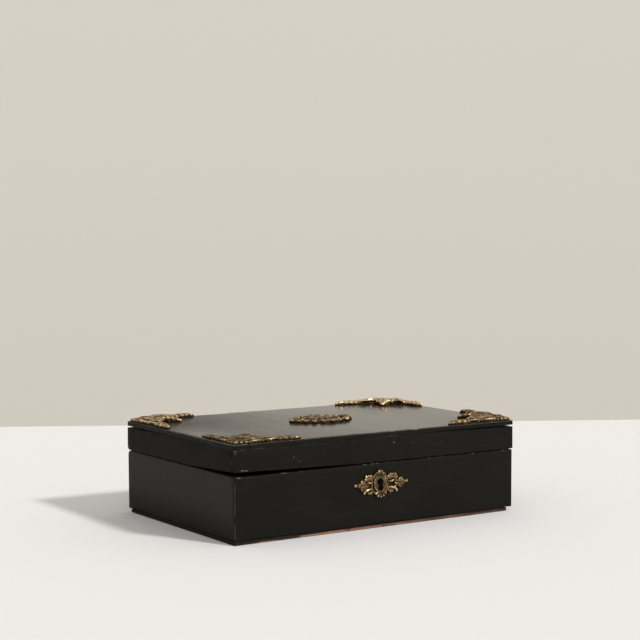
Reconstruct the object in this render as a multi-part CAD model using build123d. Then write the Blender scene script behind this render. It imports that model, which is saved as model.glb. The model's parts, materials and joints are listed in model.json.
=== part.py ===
"""A black painted wooden deed box with cast brass mounts, a box lock and a hinged lid.

Frame: the origin is the middle of the box's footprint, on the surface that it stands on.
+X runs to the right along the front, +Y from the front to the back, +Z up. Millimetres.
"""
from build123d import *
from math import cos, pi, sin, tan, radians
import os

# ---- carcass -------------------------------------------------------------------------------
case_width = 320.0  # outside, along X
case_depth = 205.0  # outside, along Y
case_height = 57.4  # case boards, from the bottom board to the rim
wall = 10.0  # thickness of the case and lid boards
corner_lip = 3.0  # wood left outside the rabbet at each end of the front and back boards
arris = 1.0  # rounding of the upright outer corners
bottom_thick = 3.5
bottom_short_right = 7.0  # the bottom board stops this far inside the right side
bottom_short_back = 6.0  # and this far inside the back
rim_gap = 0.6  # between the rims of the case and the closed lid
lid_frame_height = 23.8
lid_overhang = 0.6  # the lid stands out from the case by this much all round
top_thick = 4.7
warp_case_rim = 0.3  # the case's rim is this low at the front left corner
warp_lid_rim = 2.9  # and the lid's rim this high
warp_rim_from_lock = 2.0  # both come back to level this far short of the lock
warp_rim_side = 78.0  # and this far along the left side
warp_top = 2.2  # the lid frame is this low under the top's back left and front right corners
warp_top_long = 115.0  # and comes back to level this far along the front and the back
warp_top_side = 75.0  # and along the sides
touch = 0.1  # clearance round what is let into the wood

# ---- hinges --------------------------------------------------------------------------------
lid_open_angle = 98.0
stop_clearance = 1.0  # degrees left between the two bevels when the lid is fully open
axis_inset = 3.2  # hinge axis, in from the back face of the case
hinge_length = 30.0
hinge_from_end = 65.0  # middle of each hinge, from the end of the box
barrel_radius = 1.7
barrel_relief = 0.2  # room round a barrel
pin_radius = 0.85
pin_clearance = 0.05
leaf_thick = 1.0
leaf_edge = 1.2  # wood left between a leaf and the inner face of its board
leaf_screw_spread = 20.0
knuckle_gap = 0.3

# ---- lock ----------------------------------------------------------------------------------
lock_shift = -3.0  # the lock and its keyhole stand this far from the middle of the front
keyhole_below_rim = 17.7  # middle of the round part
keyhole_radius = 3.8
keyhole_slot = 5.0
keyhole_drop = 7.7  # from the middle of the round part to the foot of the slot
lock_flange = 6.0  # of the plate, on each side of the cap
lock_height = 30.0
lock_plate_thick = 1.2
cap_height = 25.8
cap_depth = 5.2
cap_wall = 0.8
key_pin_radius = 1.1
key_pin_length = 4.2
loop_spacing = 16.0
loop_thick = 1.6
loop_width = 3.2
loop_drop = 7.0  # below the lid's rim
loop_slot_room = 0.4
loop_web = 0.9  # metal left under a loop's eye
eye_room = 0.6  # above and below a finger in its eye
eye_side_room = 0.3
bolt_thick = 2.0
bolt_bar_height = 5.0
bolt_under_loops = 0.6  # gap from the bolt's bar up to the loops
finger_height = 1.8
finger_width = 1.2
finger_gap = 0.5  # from a drawn finger to its loop
finger_root_gap = 0.7  # from a shot finger's root to its loop
finger_past = 1.7  # how far a shot finger stands out beyond its loop
bolt_end_room = 0.3  # from the drawn bolt to the cap
bolt_notch = 5.0  # where the key turns under the bolt
bolt_notch_depth = 1.2
stump_radius = 1.0
stump_room = 0.15
stump_shoulder_radius = 1.7
stump_spread = 14.0
stump_shift = 1.0  # the pair of stumps stands this far left of the middle
spring_thick = 0.5
spring_radius = 4.4
spring_gap = 0.1

# ---- brass mounts --------------------------------------------------------------------------
mount_inset = 0.5  # from the edge of the lid
mount_plate = 1.2
front_left_arms = (73.0, 64.0)  # along the front or back, then along the side
front_right_arms = (79.0, 78.0)
back_left_arms = (73.0, 78.0)
back_right_arms = (76.0, 63.0)
medallion_length = 74.0
medallion_width = 48.0
escutcheon_width = 63.0
escutcheon_height = 28.0
escutcheon_shift = -1.4  # its middle, from the middle of the front
escutcheon_below_keyhole = 1.8  # its middle, under the middle of the keyhole's round part
escutcheon_plate = 1.0
mount_pin_radius = 0.6
mount_pin_length = 4.0
mount_pin_head = 1.15

# ---- nails and screws ----------------------------------------------------------------------
nail_radius = 0.6
nail_head_radius = 1.2
nail_head = 0.5
corner_nail_length = 22.0
corner_nail_in = 5.0  # from the corner of the box
bottom_nail_length = 16.0
top_nail_length = 18.0
top_nail_sunk = 0.6
screw_radius = 0.75
screw_head_radius = 1.4
screw_head = 0.7
hinge_screw_length = 8.0
lock_screw_length = 5.0
lock_screw_low = 3.5  # lower lock screws, above the foot of the plate
lock_screw_high = 6.0  # upper lock screws, below the rim
link_screw_in = 5.0  # from the ends of the link plate

# ---- lining --------------------------------------------------------------------------------
paper = 0.3
lining_below_rim = 4.0
lining_round_lock = 1.0

# ---- places that follow from the sizes -----------------------------------------------------
half_width = case_width / 2
half_depth = case_depth / 2
rim = bottom_thick + case_height
lid_rim = rim + rim_gap
frame_top = lid_rim + lid_frame_height
lid_top = frame_top + top_thick
lid_half_width = half_width + lid_overhang
lid_half_depth = half_depth + lid_overhang
axis_y = half_depth - axis_inset
axis_z = rim + rim_gap / 2
leaf_reach = wall - axis_inset - leaf_edge
leaf_screw_reach = (barrel_radius + barrel_relief + leaf_reach) / 2
bevel_angle = (lid_open_angle + stop_clearance) / 2
hinge_places = {"left": hinge_from_end - half_width, "right": half_width - hinge_from_end}
lock_back = wall - half_depth  # the inner face of the case's front board
link_back = wall - lid_half_depth  # the inner face of the lid's front board
plate_front = lock_back - lock_plate_thick
cap_front = plate_front - cap_depth
cap_bottom = rim - lock_plate_thick - cap_height
loop_y = plate_front - (cap_depth - cap_wall) / 2
loop_places = (-loop_spacing / 2, loop_spacing / 2)
loop_foot = lid_rim - loop_drop
finger_middle = loop_foot + loop_web + eye_room + finger_height / 2
finger_length = finger_root_gap + loop_thick + finger_past
bar_top = loop_foot - bolt_under_loops
bar_bottom = bar_top - bolt_bar_height
bar_left = loop_places[0] - loop_thick / 2 - finger_gap - finger_length - loop_thick
bolt_travel = finger_gap + finger_length - finger_root_gap
cap_width = 2 * (cap_wall + bolt_end_room - bar_left)
lock_width = cap_width + 2 * lock_flange
stump_places = (-stump_spread / 2 - stump_shift, stump_spread / 2 - stump_shift)
keyhole_height = rim - keyhole_below_rim
escutcheon_centre = keyhole_height - escutcheon_below_keyhole
LEFT, RIGHT, FRONT, BACK = -1, 1, -1, 1


def block(x0, x1, y0, y1, z0, z1):
    """A rectangular solid between two corners."""
    return Pos((x0 + x1) / 2, (y0 + y1) / 2, (z0 + z1) / 2) * Box(x1 - x0, y1 - y0, z1 - z0)


def rod(start, direction, radius, length):
    """A cylinder that starts at a point and runs along a direction."""
    seat = Plane(origin=start, z_dir=direction)
    return seat * Cylinder(radius, length, align=(Align.CENTER, Align.CENTER, Align.MIN))


def nail(start, direction, length):
    """A flat-headed nail whose head is flush at start."""
    return rod(start, direction, nail_head_radius, nail_head) + rod(start, direction, nail_radius, length)


def screw(start, direction, length):
    """A countersunk screw whose head is flush at start."""
    seat = Plane(origin=start, z_dir=direction)
    grounded = (Align.CENTER, Align.CENTER, Align.MIN)
    head = seat * Cone(screw_head_radius, screw_radius, screw_head, align=grounded)
    return head + rod(start, direction, screw_radius, length)


def above(corner, along_x, along_y, rise):
    """All that lies above a plane that is rise off at a corner and level at the ends of two runs."""
    x, y, z = corner
    edge_x = Vector(along_x, 0, -rise)
    edge_y = Vector(0, along_y, -rise)
    up = edge_x.cross(edge_y) * (1 if along_x * along_y > 0 else -1)
    slope = Plane(origin=(x, y, z + rise), z_dir=up)
    reach = 2 * (case_width + case_depth)
    return slope * Box(reach, reach, lid_top, align=(Align.CENTER, Align.CENTER, Align.MIN))


def below(corner, along_x, along_y, rise):
    """The same plane, and all that lies below it."""
    flipped = above((corner[0], corner[1], -corner[2]), along_x, along_y, -rise)
    return mirror(flipped, about=Plane.XY)


rim_warp_corner = (-lid_half_width, -lid_half_depth)
rim_warp_front = lid_half_width + lock_shift - lock_width / 2 - warp_rim_from_lock
case_warp = above((*rim_warp_corner, rim), rim_warp_front, warp_rim_side, -warp_case_rim)
lid_warp = below((*rim_warp_corner, lid_rim), rim_warp_front, warp_rim_side, warp_lid_rim)
top_warps = [
    above((-lid_half_width, lid_half_depth, frame_top), warp_top_long, -warp_top_side, -warp_top),
    above((lid_half_width, -lid_half_depth, frame_top), -warp_top_long, warp_top_side, -warp_top),
]


# ---- hinge shapes --------------------------------------------------------------------------
def barrel_cut(centre, length, radius):
    """A cylinder along the hinge axis."""
    return rod((centre - length / 2, axis_y, axis_z), (1, 0, 0), radius, length)


def back_bevel(side):
    """The wedge that comes off a rim behind the hinge axis: side is 1 for the lid, -1 for the case."""
    reach = 3 * wall
    drop = side * reach * tan(radians(bevel_angle))
    corners = [(axis_y, axis_z), (axis_y + reach, axis_z), (axis_y + reach, axis_z + drop)]
    wedge = Polygon(*corners, align=None)
    return extrude(Plane.YZ * wedge, amount=case_width, both=True)


def knuckle_spans():
    """The three knuckles' middles and lengths, from the hinge's own middle: outer, inner, outer."""
    length = (hinge_length - 2 * knuckle_gap) / 3
    step = length + knuckle_gap
    return [(-step, length), (0.0, length), (step, length)]


def leaf_screw_places(centre):
    """Where a leaf's two screws stand along X."""
    return [centre - leaf_screw_spread / 2, centre + leaf_screw_spread / 2]


def leaf_screws(side):
    """The four screws of one side's two leaves."""
    face = lid_rim if side > 0 else rim
    spots = [x for centre in hinge_places.values() for x in leaf_screw_places(centre)]
    starts = [(x, axis_y - leaf_screw_reach, face) for x in spots]
    return [screw(start, (0, 0, side), hinge_screw_length) for start in starts]


def leaf_plate(centre, side, room=0.0):
    """The flat of a leaf, let into its rim."""
    half = hinge_length / 2 + room
    face = lid_rim if side > 0 else rim
    low, high = sorted((face, face + side * leaf_thick))
    return block(centre - half, centre + half, axis_y - leaf_reach - room, axis_y, low, high)


def hinge_leaf(centre, side):
    """A leaf with its knuckles: the case's has the outer two and the lid's the middle one."""
    spans = knuckle_spans()
    own = [spans[1]] if side > 0 else [spans[0], spans[2]]
    other = [spans[0], spans[2]] if side > 0 else [spans[1]]
    leaf = leaf_plate(centre, side)
    for middle, length in other:
        leaf -= barrel_cut(centre + middle, length + 2 * knuckle_gap, barrel_radius + barrel_relief)
    for middle, length in own:
        leaf += barrel_cut(centre + middle, length, barrel_radius)
    leaf -= barrel_cut(centre, hinge_length, pin_radius + pin_clearance)
    for cut in leaf_screws(side):
        leaf -= cut
    return leaf


def let_in_hinges(board, side):
    """A back board with both leaves and barrels let in, and its outer edge bevelled for the stop."""
    board -= back_bevel(side)
    for centre in hinge_places.values():
        board -= leaf_plate(centre, side, touch)
        board -= barrel_cut(centre, hinge_length + 2 * touch, barrel_radius + barrel_relief)
    for cut in leaf_screws(side):
        board -= cut
    return board


# ---- lock shapes ---------------------------------------------------------------------------
def at_lock(shape):
    """Takes a shape, or each of a list, from the middle of the front to where the lock is."""
    if isinstance(shape, list):
        return [at_lock(one) for one in shape]
    return Pos(lock_shift, 0, 0) * shape


def keyhole(front, depth):
    """The keyhole's solid, from a front face inwards."""
    half, foot = keyhole_slot / 2, keyhole_height - keyhole_drop
    slot = block(-half, half, front, front + depth, foot, keyhole_height)
    return rod((0, front, keyhole_height), (0, 1, 0), keyhole_radius, depth) + slot


def lock_screw_list():
    """Four screws at the corners of the lock plate."""
    across = (lock_width - lock_flange) / 2
    heights = (rim - lock_height + lock_screw_low, rim - lock_screw_high)
    starts = [(x, lock_back, z) for x in (-across, across) for z in heights]
    return [screw(start, (0, -1, 0), lock_screw_length) for start in starts]


def link_screw_list():
    """Two screws through the link plate, up into the lid."""
    across = lock_width / 2 - link_screw_in
    starts = [(x, loop_y, lid_rim) for x in (-across, across)]
    return [screw(start, (0, 0, 1), hinge_screw_length) for start in starts]


def stump_list():
    """The two shouldered stumps that the bolt slides on."""
    shoulder = plate_front - (loop_y + bolt_thick / 2) - touch
    stumps = []
    for x in stump_places:
        start = (x, plate_front, bar_bottom + bolt_bar_height / 2)
        stump = rod(start, (0, -1, 0), stump_radius, cap_depth - cap_wall)
        stumps.append(stump + rod(start, (0, -1, 0), stump_shoulder_radius, shoulder))
    return stumps


def lock_plate():
    """The lock's back plate and the selvedge that shows in the rim, with slots for the loops."""
    half = lock_width / 2
    plate = block(-half, half, plate_front, lock_back, rim - lock_height, rim)
    plate += block(-half, half, cap_front, lock_back, rim - lock_plate_thick, rim)
    reach_x = loop_thick / 2 + loop_slot_room
    reach_y = loop_width / 2 + loop_slot_room
    for x in loop_places:
        plate -= block(x - reach_x, x + reach_x, loop_y - reach_y, loop_y + reach_y, rim - lock_plate_thick, rim)
    for cut in lock_screw_list():
        plate -= cut
    return plate


def lock_cap():
    """The tray that covers the works: open at the top and towards the plate."""
    half = cap_width / 2
    top = rim - lock_plate_thick
    cap = block(-half, half, cap_front, plate_front, cap_bottom, top)
    cap -= block(cap_wall - half, half - cap_wall, cap_front + cap_wall, plate_front, cap_bottom + cap_wall, top)
    return cap - keyhole(cap_front, cap_wall)


def lock_bolt():
    """The sliding bolt: a slotted bar with two upright posts, each with a finger for a loop."""
    near, far = loop_y - bolt_thick / 2, loop_y + bolt_thick / 2
    bar_right = bar_left + loop_spacing + 2 * finger_length
    bolt = block(bar_left, bar_right, near, far, bar_bottom, bar_top)
    for x in loop_places:
        post = x - loop_places[0] + bar_left
        root = post + loop_thick
        top = finger_middle + finger_height / 2
        bolt += block(post, root, near, far, bar_bottom, top)
        fine = finger_width / 2
        bolt += block(root, root + finger_length, loop_y - fine, loop_y + fine, top - finger_height, top)
    middle = bar_bottom + bolt_bar_height / 2
    room = stump_radius + stump_room
    for stump in stump_places:
        bolt -= block(stump - room - bolt_travel, stump + room, near, far, middle - room, middle + room)
    notch_left = -(bolt_travel + bolt_notch) / 2
    notch_top = bar_bottom + bolt_notch_depth
    return bolt - block(notch_left, notch_left + bolt_notch, near, far, bar_bottom, notch_top)


def bolt_spring():
    """A bent leaf spring against the cap's left wall, its end just under the bolt."""
    left = cap_wall - cap_width / 2
    centre_z = bar_bottom - spring_gap - spring_radius
    centre_x = left + spring_radius
    near, far = loop_y - bolt_thick / 2, loop_y + bolt_thick / 2
    ring = rod((centre_x, near, centre_z), (0, 1, 0), spring_radius, bolt_thick)
    ring -= rod((centre_x, near, centre_z), (0, 1, 0), spring_radius - spring_thick, bolt_thick)
    ring &= block(left, centre_x, near, far, centre_z, centre_z + spring_radius)
    return ring + block(left, left + spring_thick, near, far, cap_bottom + cap_wall, centre_z)


def link_plate():
    """The plate in the lid's rim, with the two loops that drop into the lock."""
    half = lock_width / 2
    plate = block(-half, half, cap_front, link_back, lid_rim, lid_rim + lock_plate_thick)
    eye_low = loop_foot + loop_web
    eye_high = eye_low + finger_height + 2 * eye_room
    eye_side = finger_width / 2 + eye_side_room
    for x in loop_places:
        near, far = x - loop_thick / 2, x + loop_thick / 2
        plate += block(near, far, loop_y - loop_width / 2, loop_y + loop_width / 2, loop_foot, lid_rim)
        plate -= block(near, far, loop_y - eye_side, loop_y + eye_side, eye_low, eye_high)
    for cut in link_screw_list():
        plate -= cut
    return plate


# ---- boards --------------------------------------------------------------------------------
def long_board(side, half_x, half_y, z0, z1):
    """A front (side -1) or back (side 1) board, rabbeted at both ends."""
    outer, inner = side * half_y, side * (half_y - wall)
    board = block(-half_x, half_x, min(outer, inner), max(outer, inner), z0, z1)
    outside = [e for e in board.edges().filter_by(Axis.Z) if abs(abs(e.center().Y) - half_y) < touch]
    board = fillet(outside, arris)
    lip = side * (half_y - corner_lip)
    for x in (-half_x, half_x - wall):
        board -= block(x, x + wall, min(lip, inner), max(lip, inner), z0, z1)
    return board


def end_board(side, half_x, half_y, z0, z1):
    """A left (side -1) or right (side 1) board, held between the lips of the long boards."""
    outer, inner = side * half_x, side * (half_x - wall)
    reach = half_y - corner_lip
    return block(min(outer, inner), max(outer, inner), -reach, reach, z0, z1)


def corner_nails(half_x, half_y, heights):
    """Nails driven through the end boards into the ends of the front and back boards."""
    y = half_y - corner_nail_in
    spots = [(side, end, z) for side in (LEFT, RIGHT) for end in (FRONT, BACK) for z in heights]
    return [nail((side * half_x, end * y, z), (-side, 0, 0), corner_nail_length) for side, end, z in spots]


def bottom_nails():
    """Nails up through the bottom board, in the middle of what it has under each board."""
    left = wall / 2 - half_width
    front = wall / 2 - half_depth
    right = half_width - (wall + bottom_short_right) / 2
    back = half_depth - (wall + bottom_short_back) / 2
    long_run = [half_width * share for share in (-0.75, -0.25, 0.25, 0.75)]
    short_run = [half_depth * share for share in (-0.4, 0.4)]
    spots = [(x, y) for y in (front, back) for x in long_run]
    spots += [(x, y) for x in (left, right) for y in short_run]
    return [nail((x, y, 0), (0, 0, 1), bottom_nail_length) for x, y in spots]


def top_nails():
    """Nails down through the top board into the lid frame, their heads sunk and filled over."""
    x_edge = lid_half_width - wall / 2
    y_edge = lid_half_depth - wall / 2
    spots = [(x, y) for y in (-y_edge, y_edge) for x in (-half_width / 2, half_width / 3)]
    spots += [(x, y) for x in (-x_edge, x_edge) for y in (-half_depth / 5, half_depth / 5)]
    return [nail((x, y, lid_top - top_nail_sunk), (0, 0, -1), top_nail_length) for x, y in spots]


def lining_ring(half_x, half_y, z0, z1):
    """Paper on the inner faces of four boards."""
    x, y = half_x - wall, half_y - wall
    return block(-x, x, -y, y, z0, z1) - block(paper - x, x - paper, paper - y, y - paper, z0, z1)


# ---- brass mounts --------------------------------------------------------------------------
def scroll(x, y, radius, tube, start, sweep):
    """A C-scroll lying in a mount, with a ball in each end."""
    lift = mount_plate + 0.4
    curl = Pos(x, y, lift) * Rot(0, 0, start) * Torus(radius, tube, major_angle=sweep)
    for angle in (start, start + sweep):
        tip = (x + radius * cos(radians(angle)), y + radius * sin(radians(angle)), lift)
        curl += Pos(*tip) * Sphere(tube * 1.35)
    return curl


def leaf_spike(x, y, turn, length, radius):
    """A tapering leaf that lies in a mount and points along turn, in degrees."""
    spike = Rot(0, 90, 0) * Cone(radius, 0.4, length, align=(Align.CENTER, Align.CENTER, Align.MIN))
    return Pos(x, y, mount_plate / 2) * Rot(0, 0, turn) * spike


def arm_parts(length):
    """One arm along X from a mount's corner: its flat outline, its relief and its openings."""
    flats = [
        Pos(length * 0.36, 12.5) * Ellipse(length * 0.20, 12.0),
        Pos(length * 0.62, 9.0) * Ellipse(length * 0.17, 8.5),
        Pos(length * 0.80, 6.5) * Ellipse(length * 0.14, 6.0),
        Polygon((length * 0.80, 0.8), (length, 4.0), (length * 0.80, 11.5), align=None),
    ]
    relief = [
        scroll(length * 0.36, 13.0, 8.0, 1.7, -60, 250),
        scroll(length * 0.60, 8.5, 5.6, 1.5, 120, 250),
        leaf_spike(length * 0.70, 6.0, -3, length * 0.30, 2.6),
    ]
    openings = [
        Pos(length * 0.36, 13.0) * Ellipse(4.0, 3.2),
        Pos(length * 0.60, 8.5) * Circle(2.4),
    ]
    return flats, relief, openings


def mount_pin_places(arms):
    """A mount's three pins, from its corner: one near each tip and one by the shell."""
    near_tip, off_edge = 0.78, 6.2
    return [(arms[0] * near_tip, off_edge), (off_edge, arms[1] * near_tip), (22.0, 22.0)]


def corner_mount(arms):
    """A corner mount in its own frame: its corner at the origin, its arms along +X and +Y."""
    flats, relief, openings = [Pos(16.5, 16.5) * RectangleRounded(28, 28, 9)], [], []
    diagonal = Plane(origin=(0, 0, 0), z_dir=(1, -1, 0))
    for length, swap in zip(arms, (False, True)):
        for own, group in zip(arm_parts(length), (flats, relief, openings)):
            group += [mirror(shape, about=diagonal) for shape in own] if swap else own
    for angle in (12, 28.5, 45, 61.5, 78):
        relief.append(leaf_spike(6.5, 6.5, angle, 17.0, 2.3))
    relief.append(Pos(6.5, 6.5, mount_plate + 1.0) * Sphere(3.4))
    plate = None
    for flat in flats:
        slab = extrude(flat, amount=mount_plate, both=True)
        plate = slab if plate is None else plate + slab
    for solid in relief:
        plate += solid
    reach = 2 * max(arms)
    plate &= block(-reach, reach, -reach, reach, 0, mount_plate * 6)
    for opening in openings:
        plate -= extrude(opening, amount=mount_plate * 6, both=True)
    for x, y in mount_pin_places(arms):
        plate -= rod((x, y, 0), (0, 0, 1), mount_pin_radius, mount_plate * 6)
        plate -= rod((x, y, mount_plate), (0, 0, 1), mount_pin_head, mount_plate * 6)
    return plate


def seat_on_lid(shape, side_x, side_y):
    """Takes a shape from a mount's own frame to its corner of the lid."""
    if side_x > 0:
        shape = mirror(shape, about=Plane.YZ)
    if side_y > 0:
        shape = mirror(shape, about=Plane.XZ)
    x = side_x * (lid_half_width - mount_inset)
    y = side_y * (lid_half_depth - mount_inset)
    return Pos(x, y, lid_top) * shape


def mount_pin(x, y, head_height):
    """A round-headed pin in a mount's own frame, its head on the plate."""
    shank = rod((x, y, head_height), (0, 0, -1), mount_pin_radius, head_height + mount_pin_length)
    dome = Pos(x, y, head_height) * Sphere(mount_pin_head)
    return shank + (dome & block(x - 2, x + 2, y - 2, y + 2, head_height, head_height + 2))


def medallion():
    """The oval mount in the middle of the lid, in its own frame."""
    half_x, half_y = medallion_length / 2, medallion_width / 2
    plate = extrude(Ellipse(half_x * 0.86, half_y * 0.84), amount=mount_plate)
    for turn in range(4):
        point_x, point_y = [(half_x, 0), (0, half_y), (-half_x, 0), (0, -half_y)][turn]
        side = Vector(point_y, -point_x).normalized() * 9
        base = Vector(point_x, point_y) * 0.70
        corners = [base + side, Vector(point_x, point_y), base - side]
        plate += extrude(Polygon(*[(c.X, c.Y) for c in corners], align=None), amount=mount_plate)
    rim_outer, rim_inner = Ellipse(half_x * 0.62, half_y * 0.60), Ellipse(half_x * 0.53, half_y * 0.49)
    plate += extrude(rim_outer - rim_inner, amount=mount_plate * 2.6)
    plate += extrude(rim_inner, amount=mount_plate * 1.7)
    beads = 18
    for bead in range(beads):
        angle = 2 * pi * bead / beads
        spot = (half_x * 0.76 * cos(angle), half_y * 0.74 * sin(angle), mount_plate)
        plate += Pos(*spot) * Sphere(2.3)
    plate &= block(-half_x, half_x, -half_y, half_y, 0, mount_plate * 6)
    for x, y in medallion_pin_places():
        plate -= rod((x, y, 0), (0, 0, 1), mount_pin_radius, mount_plate)
        plate -= rod((x, y, mount_plate), (0, 0, 1), mount_pin_head, mount_plate * 6)
    return plate


def medallion_pin_places():
    """A pin near each pointed end."""
    return [(-medallion_length * 0.44, 0), (medallion_length * 0.44, 0)]


def escutcheon_pin_places():
    """A pin near each wing tip, from the escutcheon's own middle."""
    return [(-escutcheon_width * 0.46, 0), (escutcheon_width * 0.46, 0)]


def escutcheon():
    """The keyhole escutcheon in its own frame: X along the front, Y up, Z out of the front."""
    half_x, half_y = escutcheon_width / 2, escutcheon_height / 2
    plate = extrude(Ellipse(half_x * 0.36, half_y * 0.97), amount=escutcheon_plate)
    wing = Ellipse(half_x * 0.78, half_y * 0.66)
    plate += extrude(wing, amount=escutcheon_plate)
    for side in (LEFT, RIGHT):
        root = side * half_x * 0.6
        tip = Polygon((root, -5 * side), (side * half_x, 0), (root, 5 * side), align=None)
        plate += extrude(tip, amount=escutcheon_plate)
        plate += Pos(side * half_x * 0.96, 0, escutcheon_plate) * Sphere(1.2)
        for turn in (-38, 0, 38):
            angle = turn if side > 0 else 180 - turn
            plate += leaf_spike(side * half_x * 0.36, 0, angle, 13.0, 2.0)
    outer, inner = Ellipse(half_x * 0.31, half_y * 0.89), Ellipse(half_x * 0.25, half_y * 0.76)
    oval = Pos(lock_shift - escutcheon_shift, 0) * (outer - inner)
    plate += extrude(oval, amount=escutcheon_plate * 2.6)
    plate &= block(-half_x, half_x, -half_y, half_y, 0, escutcheon_plate * 5)
    for x, y in escutcheon_pin_places():
        plate -= rod((x, y, 0), (0, 0, 1), mount_pin_radius, escutcheon_plate)
        plate -= rod((x, y, escutcheon_plate), (0, 0, 1), mount_pin_head, escutcheon_plate * 6)
    return plate


on_front = Pos(escutcheon_shift, -half_depth, escutcheon_centre) * Rot(90, 0, 0)
mount_corners = {
    "front_left": (front_left_arms, LEFT, FRONT),
    "front_right": (front_right_arms, RIGHT, FRONT),
    "back_left": (back_left_arms, LEFT, BACK),
    "back_right": (back_right_arms, RIGHT, BACK),
}
mount_pins = [
    seat_on_lid(mount_pin(x, y, mount_plate), side_x, side_y)
    for arms, side_x, side_y in mount_corners.values()
    for x, y in mount_pin_places(arms)
]
medallion_pins = [Pos(0, 0, lid_top) * mount_pin(x, y, mount_plate) for x, y in medallion_pin_places()]
escutcheon_pins = [on_front * mount_pin(x, y, escutcheon_plate) for x, y in escutcheon_pin_places()]
case_nails = corner_nails(half_width, half_depth, (bottom_thick + 14, rim - 12))
lid_nails = corner_nails(lid_half_width, lid_half_depth, ((lid_rim + frame_top) / 2,))


def cut_all(solid, cuts):
    """A solid less every one of the cuts."""
    for cut in cuts:
        solid -= cut
    return solid


# ---- the case ------------------------------------------------------------------------------
case_size = (half_width, half_depth, bottom_thick, rim)
nodes = {}
bottom_right, bottom_back = half_width - bottom_short_right, half_depth - bottom_short_back
bottom = block(-half_width, bottom_right, -half_depth, bottom_back, 0, bottom_thick)
nodes["bottom_board"] = cut_all(bottom, bottom_nails())

front = long_board(FRONT, *case_size) - case_warp
half_lock = lock_width / 2 + touch
half_cap = cap_width / 2 + touch
lock_cuts = [
    block(-half_lock, half_lock, plate_front, lock_back, rim - lock_height - touch, rim),
    block(-half_lock, half_lock, cap_front, lock_back, rim - lock_plate_thick, rim),
    block(-half_cap, half_cap, cap_front, lock_back, cap_bottom - touch, rim),
    keyhole(-half_depth, wall),
    *lock_screw_list(),
]
front = cut_all(front, at_lock(lock_cuts) + escutcheon_pins)
nodes["case_front_board"] = cut_all(front, case_nails + bottom_nails())
back = let_in_hinges(long_board(BACK, *case_size), -1)
nodes["case_back_board"] = cut_all(back, case_nails + bottom_nails())
left = end_board(LEFT, *case_size) - case_warp - back_bevel(-1)
nodes["case_left_board"] = cut_all(left, case_nails + bottom_nails())
right = end_board(RIGHT, *case_size) - back_bevel(-1)
nodes["case_right_board"] = cut_all(right, case_nails + bottom_nails())
nodes["case_corner_nails"] = case_nails
nodes["bottom_board_nails"] = bottom_nails()

inside_x, inside_y = half_width - wall, half_depth - wall
nodes["floor_lining"] = block(-inside_x, inside_x, -inside_y, inside_y, bottom_thick, bottom_thick + paper)
wall_lining = lining_ring(half_width, half_depth, bottom_thick + paper, rim - lining_below_rim)
round_lock = lock_width / 2 + lining_round_lock
lock_foot = rim - lock_height - lining_round_lock
wall_lining -= at_lock(block(-round_lock, round_lock, lock_back, lock_back + paper, lock_foot, rim))
nodes["case_wall_lining"] = wall_lining

relief = 6 * escutcheon_plate
nodes["keyhole_escutcheon"] = on_front * escutcheon() - at_lock(keyhole(-half_depth - relief, relief))
nodes["escutcheon_pins"] = escutcheon_pins
nodes["lock_plate"] = at_lock(lock_plate())
nodes["lock_cap"] = at_lock(lock_cap())
key_pin = rod((0, plate_front, keyhole_height), (0, -1, 0), key_pin_radius, key_pin_length)
nodes["lock_key_pin"] = at_lock(key_pin)
nodes["lock_bolt_stumps"] = at_lock(stump_list())
nodes["lock_screws"] = at_lock(lock_screw_list())
nodes["bolt_spring"] = at_lock(bolt_spring())
nodes["lock_bolt"] = at_lock(lock_bolt())
nodes["hinge_case_screws"] = leaf_screws(-1)

# ---- the hinges ----------------------------------------------------------------------------
for name, centre in hinge_places.items():
    nodes[f"{name}_hinge_case_leaf"] = hinge_leaf(centre, -1)
    nodes[f"{name}_hinge_lid_leaf"] = hinge_leaf(centre, 1)
    nodes[f"{name}_hinge_pin"] = barrel_cut(centre, hinge_length, pin_radius)

# ---- the lid -------------------------------------------------------------------------------
lid_size = (lid_half_width, lid_half_depth, lid_rim, frame_top)
lid_front = cut_all(long_board(FRONT, *lid_size), [lid_warp, *top_warps])
link_top = lid_rim + lock_plate_thick
link_seat = block(-half_lock, half_lock, cap_front - touch, link_back, lid_rim, link_top)
link_cuts = at_lock([link_seat, *link_screw_list()])
nodes["lid_front_board"] = cut_all(lid_front, link_cuts + lid_nails + top_nails())
lid_back = cut_all(let_in_hinges(long_board(BACK, *lid_size), 1), top_warps)
nodes["lid_back_board"] = cut_all(lid_back, lid_nails + top_nails())
lid_left = cut_all(end_board(LEFT, *lid_size), [lid_warp, back_bevel(1), *top_warps])
nodes["lid_left_board"] = cut_all(lid_left, lid_nails + top_nails())
lid_right = cut_all(end_board(RIGHT, *lid_size), [back_bevel(1), *top_warps])
nodes["lid_right_board"] = cut_all(lid_right, lid_nails + top_nails())
top_board = block(-lid_half_width, lid_half_width, -lid_half_depth, lid_half_depth, frame_top, lid_top)
top_board = fillet(top_board.edges().filter_by(Axis.Z), arris)
nodes["lid_top_board"] = cut_all(top_board, top_nails() + mount_pins + medallion_pins)
nodes["lid_corner_nails"] = lid_nails
nodes["lid_top_nails"] = top_nails()
paper_top = frame_top - paper
lid_ring = lining_ring(lid_half_width, lid_half_depth, lid_rim + lining_below_rim, paper_top)
nodes["lid_wall_lining"] = lid_ring
inside_x, inside_y = lid_half_width - wall, lid_half_depth - wall
nodes["lid_top_lining"] = block(-inside_x, inside_x, -inside_y, inside_y, paper_top, frame_top)
for name, (arms, side_x, side_y) in mount_corners.items():
    nodes[f"{name}_corner_mount"] = seat_on_lid(corner_mount(arms), side_x, side_y)
nodes["corner_mount_pins"] = mount_pins
nodes["lid_medallion"] = Pos(0, 0, lid_top) * medallion()
nodes["medallion_pins"] = medallion_pins
nodes["lock_link_plate"] = at_lock(link_plate())
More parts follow.
